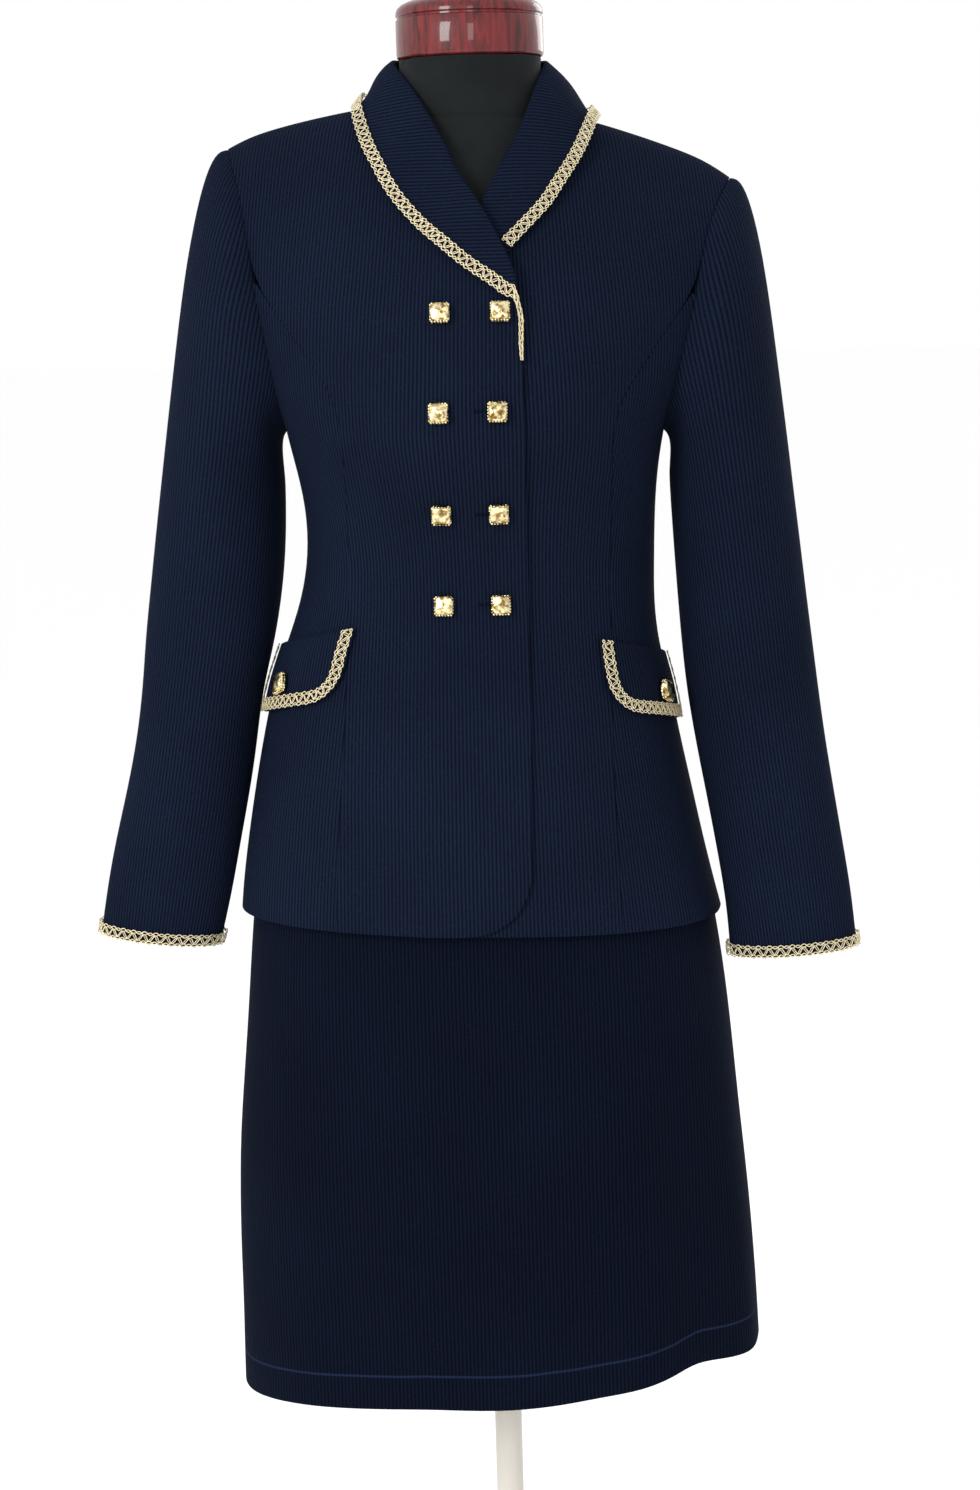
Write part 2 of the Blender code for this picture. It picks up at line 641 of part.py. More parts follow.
def arm_ring_point(table, side, tilt, height, angle):
    share = (height - table.keys[0]) / (table.keys[-1] - table.keys[0])
    reach = table.at(height, "half_width") * math.cos(angle)
    return Vector((side * (table.at(height, "across") + reach),
                   table.at(height, "along") - table.at(height, "half_depth") * math.sin(angle),
                   height + tilt * (1 - share) * reach))


def cap_point(table, side, tilt, step, angle):
    """The sleeve head, from the armhole down to the first whole ring of the arm."""
    start = armhole_point(side, angle)
    end = arm_ring_point(table, side, tilt, table.keys[-1], angle)
    centre = (armhole_point(side, 0) + armhole_point(side, math.pi)) / 2
    radial = Vector((0, start.y - centre.y, start.z - centre.z)).normalized()
    chord = (end - start).length
    at_underarm = (1 - math.cos(angle)) / 2
    leave = radial * SLEEVE_LEAVES["radial"]
    leave.x = side * (SLEEVE_LEAVES["out"] + SLEEVE_LEAVES["at_underarm"] * at_underarm)
    leave.z -= SLEEVE_LEAVES["down"]
    below = arm_ring_point(table, side, tilt, table.keys[-2], angle)
    arrive = (end - below).normalized() * -chord
    start = start + leave.normalized() * SEAM_GAP
    return hermite(start, leave * chord, end, arrive, step)


def make_sleeve(name, table, side, tilt, material, collection):
    angles = [-side * 2 * math.pi * i / SLEEVE_SIDES for i in range(SLEEVE_SIDES)]
    top, cuff = table.keys[-1], table.keys[0]
    rows = [[arm_ring_point(table, side, tilt, lerp(cuff, top, i / SLEEVE_ARM_STEPS), angle)
             for angle in angles] for i in range(SLEEVE_ARM_STEPS + 1)]
    rows += [[cap_point(table, side, tilt, step, angle) for angle in angles]
             for step in reversed(SLEEVE_CAP_STEPS)]
    add_cloth(name, rows, material, collection, wrap=True)


# Collar

def fold_path(length, crest, shape):
    """The outer side of a section, from its foot up the neck side, round the roll and down to its edge.

    Each point is a distance from the seam towards the edge and a rise off the cloth below.
    """
    radius = shape["radius"]
    centre = crest + Vector((ROLL_CENTRE_SHARE * radius, -ROLL_CENTRE_SHARE * radius))
    foot = Vector((-shape["overhang"], -shape["foot"]))
    edge = Vector((length, shape["gap"] + WALL))
    start = math.pi + math.atan2(foot.x - centre.x + radius, centre.y - foot.y)
    finish = math.atan2(edge.x - centre.x, centre.y - edge.y)
    turns = [lerp(start, finish, i / ROLL_STEPS) for i in range(ROLL_STEPS + 1)]
    roll = [centre + radius * Vector((math.cos(turn), math.sin(turn))) for turn in turns]
    fall = edge - roll[-1]
    braid_start = edge - fall.normalized() * min(BRAID_ROOM, 0.7 * fall.length)
    bulge = Vector((-fall.y, fall.x)).normalized() * FALL_BULGE * min(crest.y / FULL_BULGE_RISE, 1.0)
    middle = [lerp(roll[-1], braid_start, i / 3) + bulge for i in (1, 2)]
    return [foot, lerp(foot, roll[0], 0.5)] + roll + middle + [braid_start, edge]


def inward(path):
    """The directions across a path that lead from its outer side to its inner side, for a wall."""
    runs = [(b - a).normalized() for a, b in zip(path, path[1:])]
    sides = [Vector((run.y, -run.x)) for run in runs]
    joints = [sides[0]]
    for before, after in zip(sides, sides[1:]):
        middle = (before + after).normalized()
        joints.append(middle / max(middle.dot(after), 0.5))
    return joints + [sides[-1]]


class CollarSection:
    """One section of the collar between its seam and its outer edge."""

    def __init__(self, seam, edge, seam_normal, edge_normal, laid_at, roll=None, standing=0.0):
        self.seam, self.edge_normal, self.laid_at, self.standing = seam, edge_normal, laid_at, standing
        self.across = (edge - seam).normalized()
        self.length = (edge - seam).length
        self.up = (seam_normal - self.across * seam_normal.dot(self.across)).normalized()
        self.twist = Vector((0, 0, 0))
        crest = Vector(LAID_CREST)
        if standing > 0:
            rise = roll - seam
            real = Vector((rise.dot(self.across), rise.dot(self.up)))
            self.twist = rise - self.across * real.x - self.up * real.y
            crest = lerp(crest, real, standing)
        shape = {key: lerp(LAID_COLLAR[key], STANDING_COLLAR[key], standing) for key in LAID_COLLAR}
        self.path = fold_path(self.length, crest, shape)

    def at(self, place, twisted):
        share = min(max(place.x / self.length, 0.0), 1.0)
        up = lerp(self.up, self.edge_normal, share).normalized()
        free = self.seam + self.across * place.x + up * place.y + self.twist * twisted
        if self.laid_at is None:
            return free
        laid = self.laid_at(place.x / self.length, place.y)
        return lerp(laid, free, self.standing * smoothstep(*LAID_SHARES, share))

    def skins(self):
        """The outer and the inner side of the wall, from the foot to the edge."""
        outer = [self.at(place, twist) for place, twist in zip(self.path, SECTION_TWISTS)]
        inner = [self.at(place + side * WALL, twist)
                 for place, side, twist in zip(self.path, inward(self.path), SECTION_TWISTS)]
        return outer, inner


def front_edge(level, kind):
    """The edge of a front where the collar joins it, straight between the panel's rows."""
    low = max(row for row in HIGH_LEVELS if row <= level)
    high = min(row for row in HIGH_LEVELS if row > level)
    ends = [on_front(row, NECKLINE.at(row, kind), 0.0, kind == "over") for row in (low, high)]
    return lerp(*ends, (level - low) / (high - low))


def lapel_section(level, kind):
    """A section from the break of the lapel to the side of the neck."""
    over = kind == "over"
    seam = front_edge(level, kind)
    edge_x, edge_z = LAPEL_EDGES[kind].at(level, "x"), LAPEL_EDGES[kind].at(level, "z")
    edge_level = level_at(edge_x, edge_z)
    edge = on_front(edge_level, edge_x, 0.0, over)

    def laid_at(share, rise):
        x, z = lerp(seam.x, edge_x, share), lerp(seam.z, edge_z, share)
        return on_front(min(level_at(x, z), 1.0), x, rise, over)

    roll = Vector([LAPEL_ROLLS[kind].at(level, axis) for axis in ("x", "y", "z")])
    return CollarSection(seam, edge, jacket_normal(level, turn_at(level, seam.x)),
                         jacket_normal(edge_level, turn_at(edge_level, edge_x)),
                         laid_at, roll, smoothstep(ROLL_STARTS, ROLL_STANDS, level))


def neck_section(angle, side):
    """A section of the collar round the back of the neck."""
    turn = math.radians(angle)
    seam_x = COLLAR_CENTRES["seam"] + side * NECK_SEAM_RADIUS * math.sin(turn)
    edge_x = COLLAR_CENTRES["edge"] + side * COLLAR_NECK.at(angle, "edge_across")
    seam_level, edge_level = back_top(seam_x), COLLAR_NECK.at(angle, "edge_level")
    radius = COLLAR_NECK.at(angle, "roll_r")
    roll_x = COLLAR_CENTRES["roll"] + side * radius * math.sin(turn)
    roll = Vector((roll_x, NECK_CENTRE[1] - radius * math.cos(turn),
                   COLLAR_NECK.at(angle, "roll_z") - ROLL_TILT * roll_x))
    return CollarSection(on_back(seam_level, seam_x), on_back(edge_level, edge_x),
                         jacket_normal(seam_level, turn_at(seam_level, seam_x, at_back=True)),
                         jacket_normal(edge_level, turn_at(edge_level, edge_x, at_back=True)),
                         None, roll, 1.0)


def make_collar(material, collection):
    """Returns the outer side of each section, from the over lapel's break to the under lapel's."""
    sections = [lapel_section(level, "over") for level in LAPEL_EDGES["over"].keys]
    sections += [neck_section(angle, -1) for angle in NECK_ANGLES]
    sections += [neck_section(angle, 1) for angle in NECK_ANGLES[-2::-1]]
    sections += [lapel_section(level, "under") for level in reversed(LAPEL_EDGES["under"].keys)]
    outer, inner = zip(*[section.skins() for section in sections])
    add_wall("shawl_collar", outer, inner, material, collection)
    return outer


# Skirt

def skirt_surface(height, turn):
    x, y = oval(turn, SKIRT.at(height, "half_width"), SKIRT.at(height, "front"), SKIRT.at(height, "back"))
    out = Vector((x, y, 0)).normalized()
    fold = 0.0
    for row in SKIRT_FOLDS:
        away = (math.degrees(turn) - row["turn"] + 180) % 360 - 180
        shape = math.exp(-(away / row["spread"]) ** 2 * 2)
        fold += row["depth"] * shape * smoothstep(row["ends"], SKIRT.keys[0], height)
    return Vector((x + SKIRT.at(height, "shift"), y, height)) + out * fold


def skirt_normal(height, turn):
    step = 0.002
    across = skirt_surface(height, turn + step) - skirt_surface(height, turn - step)
    along = skirt_surface(height + step, turn) - skirt_surface(height - step, turn)
    return across.cross(along).normalized()


def make_skirt_panel(name, start, end, material, collection):
    outer, inner = [], []
    for step in range(SKIRT_ROWS + 1):
        row = []
        for i in range(SKIRT_COLUMNS + 1):
            turn = lerp(start, end, i / SKIRT_COLUMNS)
            foot = SKIRT_HEM.at(skirt_surface(SKIRT.keys[0], turn).x, "height")
            height = lerp(foot, SKIRT_TOP, step / SKIRT_ROWS)
            row.append((skirt_surface(height, turn), skirt_normal(height, turn)))
        outer.append([point for point, normal in row])
        inner.append([point - normal * WALL for point, normal in row])
        ease_ends(outer[-1], SEAM_GAP / 2)
        ease_ends(inner[-1], SEAM_GAP / 2)
    add_wall(name, outer, inner, material, collection)


def make_waistband(material, collection):
    low = SKIRT_TOP + SEAM_GAP
    rows = [[skirt_surface(low + rise, 2 * math.pi * i / 32) for i in range(32)]
            for rise in (0.0, WAISTBAND_HEIGHT)]
    add_cloth("skirt_waistband", rows, material, collection, wrap=True)


# Pocket flaps, buttons and braid

class FlapPlace:
    """Places on the jacket by distance back from a flap's front edge and down from its top."""

    def __init__(self, side, x, z):
        self.side, self.z = side, z
        level = z - FLAP_DROP / 2 - UNDERARM
        rows = [(0.0, turn_at(level, x))]
        while rows[-1][0] < FLAP_LENGTH:
            length, before = rows[-1]
            turn = before + side * FLAP_TURN_STEP
            length += (jacket_surface(level, turn) - jacket_surface(level, before)).length
            rows.append((length, turn))
        self.turns = Table(("length", "turn"), rows)

    def at(self, back, down, offset):
        turn = self.turns.at(back, "turn")
        level = self.z - FLAP_SLOPE * back - down - UNDERARM
        level += LEAN * jacket_surface(level, turn).x
        return jacket_surface(level, turn) + jacket_normal(level, turn) * offset


def flap_foot(back):
    """How far down the flap reaches at this distance back from its front edge."""
    reach = min(back, FLAP_LENGTH - back)
    if reach >= FLAP_RADIUS:
        return FLAP_DROP
    return FLAP_DROP - FLAP_RADIUS + math.sqrt(FLAP_RADIUS**2 - (FLAP_RADIUS - reach) ** 2)


def make_flap(name, place, material, collection):
    shares = FLAP_COLUMNS if place.side > 0 else FLAP_COLUMNS[::-1]
    rows = [[place.at(FLAP_LENGTH * share, flap_foot(FLAP_LENGTH * share) * drop, FLAP_GAP + WALL)
             for share in shares] for drop in FLAP_ROWS]
    add_cloth(name, rows, material, collection)


def ribbon_rows(centres, widths, heights):
    """Sections of a domed ribbon: two edges on the cloth and three points over them."""
    rows = []
    for centre, width, height in zip(centres, widths, heights):
        half = width * 0.5
        rows.append([centre - half, centre + half, centre + half * BRAID_SHOULDER + height,
                     centre + height * BRAID_CREST, centre - half * BRAID_SHOULDER + height])
    return rows


def make_ribbon(name, centres, widths, heights, material, collection, closed=False):
    mesh = loft_mesh(name, ribbon_rows(centres, widths, heights), closed)
    add_object(name, mesh, material, collection)


def flap_braid_path():
    """The middle of the braid: down the front edge, round both corners and up the back edge."""
    inset = BRAID_WIDTH / 2
    radius = FLAP_RADIUS - inset
    low, far = FLAP_DROP - inset - radius, FLAP_LENGTH - inset - radius
    points = [(inset, low * t) for t in (0.0, 0.33, 0.66)]
    points += [(inset + radius * (1 - math.cos(a)), low + radius * math.sin(a))
               for a in (0, math.pi / 8, math.pi / 4, math.pi * 3 / 8)]
    points += [(lerp(inset + radius, far, t), FLAP_DROP - inset) for t in (0, 0.2, 0.4, 0.6, 0.8)]
    points += [(far + radius * math.sin(a), low + radius * math.cos(a))
               for a in (0, math.pi / 8, math.pi / 4, math.pi * 3 / 8)]
    points += [(far + radius, low * t) for t in (1.0, 0.66, 0.33, 0.0)]
    return points


def make_flap_braid(name, place, material, collection):
    path = flap_braid_path()
    lay = FLAP_GAP + WALL + LAY_GAP
    centres, widths, heights = [], [], []
    for i, (back, down) in enumerate(path):
        before, after = path[max(i - 1, 0)], path[min(i + 1, len(path) - 1)]
        run = Vector((after[0] - before[0], after[1] - before[1])).normalized()
        half = BRAID_WIDTH / 2
        inner = place.at(back - run.y * half, down + run.x * half, lay)
        outer = place.at(back + run.y * half, down - run.x * half, lay)
        centre = (inner + outer) / 2
        top = place.at(back, down, lay + BRAID_HEIGHT)
        centres.append(centre)
        widths.append(outer - inner)
        heights.append(top - place.at(back, down, lay))
    make_ribbon(name, centres, widths, heights, material, collection)


def make_cuff_braid(name, table, side, tilt, material, collection):
    """A ring of braid over the lower edge of a sleeve."""
    count = SLEEVE_SIDES * 2
    low = table.keys[0] + BRAID_WIDTH / 2 - CUFF_BRAID_INSET
    centres, widths, heights = [], [], []
    for i in range(count):
        angle = 2 * math.pi * i / count
        middle = arm_ring_point(table, side, tilt, low, angle)
        out = Vector((side * math.cos(angle) / table.at(low, "half_width"),
                      -math.sin(angle) / table.at(low, "half_depth"), 0)).normalized()
        top = arm_ring_point(table, side, tilt, low + BRAID_WIDTH, angle)
        centres.append(middle + out * CUFF_BRAID_GAP)
        widths.append((top - middle).normalized() * BRAID_WIDTH)
        heights.append(out * BRAID_HEIGHT)
    make_ribbon(name, centres, widths, heights, material, collection, closed=True)


def make_collar_braid(sections, material, collection):
    """Braid along the collar's outer edge, from the front edge to where it passes underneath."""
    places = []
    for level in BRAID_END.keys:
        width, x = BRAID_END.at(level, "width"), NECKLINE.at(level, "over")
        right, left = [on_front(level, x - inset, COLLAR_BRAID_GAP, over=True) for inset in (0.0, width)]
        rise = jacket_normal(level, turn_at(level, x)) * BRAID_HEIGHT
        places.append(((left + right) / 2, right - left, rise))
    last = len(sections) - 1 - BRAID_HIDDEN_SECTIONS
    for i in range(last + 1):
        edge, inner = sections[i][-1], sections[i][-2]
        along = (inner - edge).normalized()
        run = sections[min(i + 1, last)][-1] - sections[max(i - 1, 0)][-1]
        out = along.cross(run).normalized()
        width = min(BRAID_WIDTH, (inner - edge).length)
        places.append((edge + along * width / 2 + out * COLLAR_BRAID_GAP, along * width, out * BRAID_HEIGHT))
    make_ribbon("collar_braid", *zip(*places), material, collection)


def button_mesh():
    """A square nugget with soft edges and a domed face."""
    bm = bmesh.new()
    bmesh.ops.create_cube(bm, size=1.0)
    bmesh.ops.scale(bm, verts=bm.verts, vec=(BUTTON_SIZE, BUTTON_SIZE, BUTTON_DEPTH))
    bmesh.ops.translate(bm, verts=bm.verts, vec=(0, 0, BUTTON_DEPTH / 2))
    bmesh.ops.bevel(bm, geom=bm.edges, offset=BUTTON_EDGE, offset_type="OFFSET", affect="EDGES",
                    segments=1, profile=0.5, material=-1)
    top = max(bm.faces, key=lambda face: face.calc_center_median().z)
    dome = bmesh.ops.poke(bm, faces=[top])
    bmesh.ops.translate(bm, verts=dome["verts"], vec=(0, 0, BUTTON_DOME))
    mesh = bpy.data.meshes.new("nugget_button")
    bm.to_mesh(mesh)
    bm.free()
    return mesh


def place_button(name, mesh, point, normal, material, collection):
    button = bpy.data.objects.new(name, mesh)
    if not mesh.materials:
        mesh.materials.append(material)
    collection.objects.link(button)
    across = Vector((1, 0, 0))
    across = (across - normal * across.dot(normal)).normalized()
    turned = Matrix((across, normal.cross(across), normal)).transposed().to_4x4()
    button.matrix_world = Matrix.Translation(point) @ turned


FRONT_BUTTONS = [
    {"z": 1.342, "at_left": -0.023, "at_right": 0.0225},
    {"z": 1.268, "at_left": -0.025, "at_right": 0.0195},
    {"z": 1.192, "at_left": -0.026, "at_right": 0.0180},
    {"z": 1.117, "at_left": -0.027, "at_right": 0.0170},
]
FLAP_BUTTON = {"back": 0.060, "down": 0.036}


def make_buttons(material, collection, flap_places):
    mesh = button_mesh()
    number = 1
    for row in FRONT_BUTTONS:
        for column in ("at_left", "at_right"):
            x = row[column]
            level = level_at(x, row["z"])
            point = on_front(level, x, BUTTON_GAP, over=True)
            normal = jacket_normal(level, turn_at(level, x))
            place_button(f"front_button_{number}", mesh, point, normal, material, collection)
            number += 1
    for name, place in flap_places.items():
        lay = FLAP_GAP + WALL + BUTTON_GAP
        point = place.at(FLAP_BUTTON["back"], FLAP_BUTTON["down"], lay)
        beyond = place.at(FLAP_BUTTON["back"], FLAP_BUTTON["down"], lay + BUTTON_DEPTH)
        place_button(name + "_flap_button", mesh, point, (beyond - point).normalized(), material, collection)


# Stand

def make_torso(material, collection):
    low, high = TORSO.keys[0], TORSO.keys[-1]
    heights = [lerp(low, high, i / TORSO_LEVELS) for i in range(TORSO_LEVELS + 1)]
    rows = []
    for height in heights:
        row = []
        squareness = lerp(SQUARENESS, 2.0, smoothstep(NECK_FOOT, NECK_FOOT + 0.04, height))
        for i in range(TORSO_SIDES):
            x, y = oval(2 * math.pi * i / TORSO_SIDES, TORSO.at(height, "half_width"),
                        TORSO.at(height, "front"), TORSO.at(height, "back"), squareness)
            row.append(Vector((x + TORSO.at(height, "shift"), y, height)))
        rows.append(row)
    add_object("form_torso", loft_mesh("form_torso", rows), material, collection)


def make_turned(name, profile, material, collection, centre=(0, 0), steps=32, closed=False):
    """A turned piece. The profile runs down its outer side, as radius and height."""
    bm = bmesh.new()
    verts = [bm.verts.new((radius, 0, height)) for radius, height in profile]
    for a, b in zip(verts, verts[1:]):
        bm.edges.new((a, b))
    if closed:
        bm.edges.new((verts[-1], verts[0]))
    mesh = bpy.data.meshes.new(name)
    bm.to_mesh(mesh)
    bm.free()
    turned = add_object(name, mesh, material, collection)
    turned.location = (centre[0], centre[1], 0)
    screw = turned.modifiers.new("Turn", "SCREW")
    screw.steps = screw.render_steps = steps
    screw.use_merge_vertices = True
    screw.merge_threshold = 0.00001
    return turned


def make_stand(materials, collection):
    make_torso(materials["jersey"], collection)
    bottom = NECK_TOP + FIT_GAP
    make_turned("neck_cap", [
        (0.0, 1.5960), (0.030, 1.5948), (0.048, 1.5912), (0.0565, 1.5870), (0.0586, 1.5835),
        (0.0590, 1.5795), (0.0578, 1.5787), (0.0578, 1.5770), (0.0590, 1.5762), (0.0592, 1.5600),
        (0.0590, 1.5485), (0.0578, bottom), (0.0, bottom),
    ], materials["wood"], collection, centre=NECK_CENTRE)
    pole_foot, pole_top = BASE_HEIGHT + FIT_GAP, TORSO.keys[0] - FIT_GAP
    make_turned("pole", [
        (0.0, pole_top), (POLE_RADIUS, pole_top), (POLE_RADIUS, pole_foot), (0.0, pole_foot),
    ], materials["pole"], collection, steps=24)
    bore = POLE_RADIUS + FIT_GAP
    make_turned("pole_collar", [
        (bore, 0.062), (0.0165, 0.062), (0.0185, 0.060), (0.0200, 0.034), (0.0310, 0.020),
        (0.0330, pole_foot), (bore, pole_foot),
    ], materials["pole"], collection, steps=24, closed=True)
    make_turned("base", [
        (0.0, BASE_HEIGHT), (0.060, BASE_HEIGHT), (0.160, 0.0105), (0.172, 0.0085),
        (BASE_RADIUS, 0.0050), (BASE_RADIUS, 0.0), (0.0, 0.0),
    ], materials["base"], collection, steps=40)


def main():
    for thing in list(bpy.data.objects):
        bpy.data.objects.remove(thing, do_unlink=True)
    collection = bpy.data.collections.new("skirt_suit")
    bpy.context.scene.collection.children.link(collection)
    materials = {
        "knit": make_material("navy_knit", (0.008, 0.013, 0.040), 0.85),
        "braid": make_material("gold_braid", (0.52, 0.40, 0.16), 0.45, 0.6),
        "button": make_material("gold_metal", (0.78, 0.56, 0.18), 0.28, 1.0),
        "jersey": make_material("black_jersey", (0.012, 0.012, 0.012), 0.8),
        "wood": make_material("mahogany", (0.16, 0.018, 0.016), 0.18),
        "pole": make_material("pale_paint", (0.62, 0.60, 0.56), 0.35),
        "base": make_material("base_paint", (0.60, 0.58, 0.55), 0.40),
    }
    knit, braid = materials["knit"], materials["braid"]
    make_stand(materials, collection)
    make_skirt_panel("skirt_front", -math.pi / 2, math.pi / 2, knit, collection)
    make_skirt_panel("skirt_back", math.pi / 2, math.pi * 1.5, knit, collection)
    make_waistband(knit, collection)
    make_right_front(knit, collection)
    make_left_front(knit, collection)
    make_side_front("right_side_front", -1, "at_left", knit, collection)
    make_side_front("left_side_front", 1, "at_right", knit, collection)
    make_back(knit, collection)
    for name, table, side, tilt in (
            ("right", SLEEVE_AT_LEFT, -1, SLEEVE_CUFF_TILT["at_left"]),
            ("left", SLEEVE_AT_RIGHT, 1, SLEEVE_CUFF_TILT["at_right"])):
        make_sleeve(name + "_sleeve", table, side, tilt, knit, collection)
        make_cuff_braid(name + "_cuff_braid", table, side, tilt, braid, collection)
    make_collar_braid(make_collar(knit, collection), braid, collection)
    flap_places = {"right": FlapPlace(-1, -0.1065, 1.0985), "left": FlapPlace(1, 0.0965, 1.0850)}
    for name, place in flap_places.items():
        make_flap(name + "_pocket_flap", place, knit, collection)
        make_flap_braid(name + "_flap_braid", place, braid, collection)
    make_buttons(materials["button"], collection, flap_places)


main()
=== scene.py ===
import math

import bmesh
import bpy
import numpy as np
from mathutils import Matrix, Vector, noise
from mathutils.bvhtree import BVHTree


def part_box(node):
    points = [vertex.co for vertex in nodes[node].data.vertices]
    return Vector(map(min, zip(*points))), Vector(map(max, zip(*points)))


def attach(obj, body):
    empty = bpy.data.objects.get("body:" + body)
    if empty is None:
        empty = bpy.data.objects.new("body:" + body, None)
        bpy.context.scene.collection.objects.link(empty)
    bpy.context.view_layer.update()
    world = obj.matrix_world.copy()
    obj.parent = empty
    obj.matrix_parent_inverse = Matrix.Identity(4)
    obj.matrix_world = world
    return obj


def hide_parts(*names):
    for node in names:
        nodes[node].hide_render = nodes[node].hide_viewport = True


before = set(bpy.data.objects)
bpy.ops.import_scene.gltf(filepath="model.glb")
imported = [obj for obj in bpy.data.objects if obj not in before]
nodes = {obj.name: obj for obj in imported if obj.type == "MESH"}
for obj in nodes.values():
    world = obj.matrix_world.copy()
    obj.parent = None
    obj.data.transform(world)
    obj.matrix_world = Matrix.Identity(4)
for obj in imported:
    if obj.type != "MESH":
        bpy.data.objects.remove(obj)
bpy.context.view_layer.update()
print("frame loaded,", len(nodes), "nodes")

mm = 0.001
up = Vector((0, 0, 1))


# camera, at the photograph's angle: a phone held upright, a little above the chest and a little to the right

cameraView = {
    "azimuth": 3.0, "distance": 2.4, "height": 1.36, "aimHeight": 0.989, "roll": 1.579,
    "focalPixels": 2927, "framePixels": 1490, "sensor": 36,
}


def makeCamera(view):
    turn = math.radians(view["azimuth"])
    place = Vector((view["distance"] * math.sin(turn), -view["distance"] * math.cos(turn), view["height"]))
    ahead = (Vector((0, 0, view["aimHeight"])) - place).normalized()
    right = ahead.cross(up).normalized()
    above = right.cross(ahead)
    roll = math.radians(view["roll"])
    tiltedRight = right * math.cos(roll) - above * math.sin(roll)
    tiltedUp = right * math.sin(roll) + above * math.cos(roll)
    data = bpy.data.cameras.new("photoCamera")
    data.sensor_width = view["sensor"]
    data.lens = view["focalPixels"] / view["framePixels"] * view["sensor"]
    camera = bpy.data.objects.new("photoCamera", data)
    bpy.context.scene.collection.objects.link(camera)
    axes = Matrix((tiltedRight, tiltedUp, -ahead)).transposed().to_4x4()
    camera.matrix_world = Matrix.Translation(place) @ axes
    bpy.context.scene.camera = camera


makeCamera(cameraView)


# materials

def colour(hexValue):
    parts = [int(hexValue[i:i + 2], 16) / 255 for i in (1, 3, 5)]
    return [p / 12.92 if p <= 0.04045 else ((p + 0.055) / 1.055) ** 2.4 for p in parts] + [1.0]


def addNode(tree, kind, settings=(), values=(), links=()):
    node = tree.nodes.new("ShaderNode" + kind)
    for name, value in dict(settings).items():
        setattr(node, name, value)
    for name, value in dict(values).items():
        node.inputs[name].default_value = value
    for name, source in dict(links).items():
        tree.links.new(source, node.inputs[name])
    return node


def startMaterial(name, values):
    material = bpy.data.materials.new(name)
    material.use_nodes = True
    tree = material.node_tree
    shader = tree.nodes["Principled BSDF"]
    for socket, value in values.items():
        shader.inputs[socket].default_value = value
    return material, tree, shader


# wool rib knit: matt, with rounded ribs, painted shade in the grooves and small slanting stitches on each rib
knitLook = {
    # crest and groove paint the ribs' light and shade: a lighter crest, and painted shade in each groove
    "crest": "#131b2d", "grooveShade": "#080c17", "fleck": "#1e273c",
    "ribPitch": 3.05 * mm, "ribHeight": 0.42 * mm, "stitchPitch": 1.9 * mm, "wander": 0.35,
    "slant": 1.6, "stitchDepth": 0.14, "fuzz": 900.0, "fuzzDepth": 0.35,
    "roughness": 0.95, "specular": 0.03, "sheen": 0.03, "sheenTint": "#5a6d96",
    "hemLine": "#1c2740",
}
# the skirt's copy of the knit is a little darker than the jacket's: painted shade, for the shade that falls
# on the skirt
skirtShadedLook = dict(knitLook, crest="#0a1120", grooveShade="#050710", fleck="#131b2b")


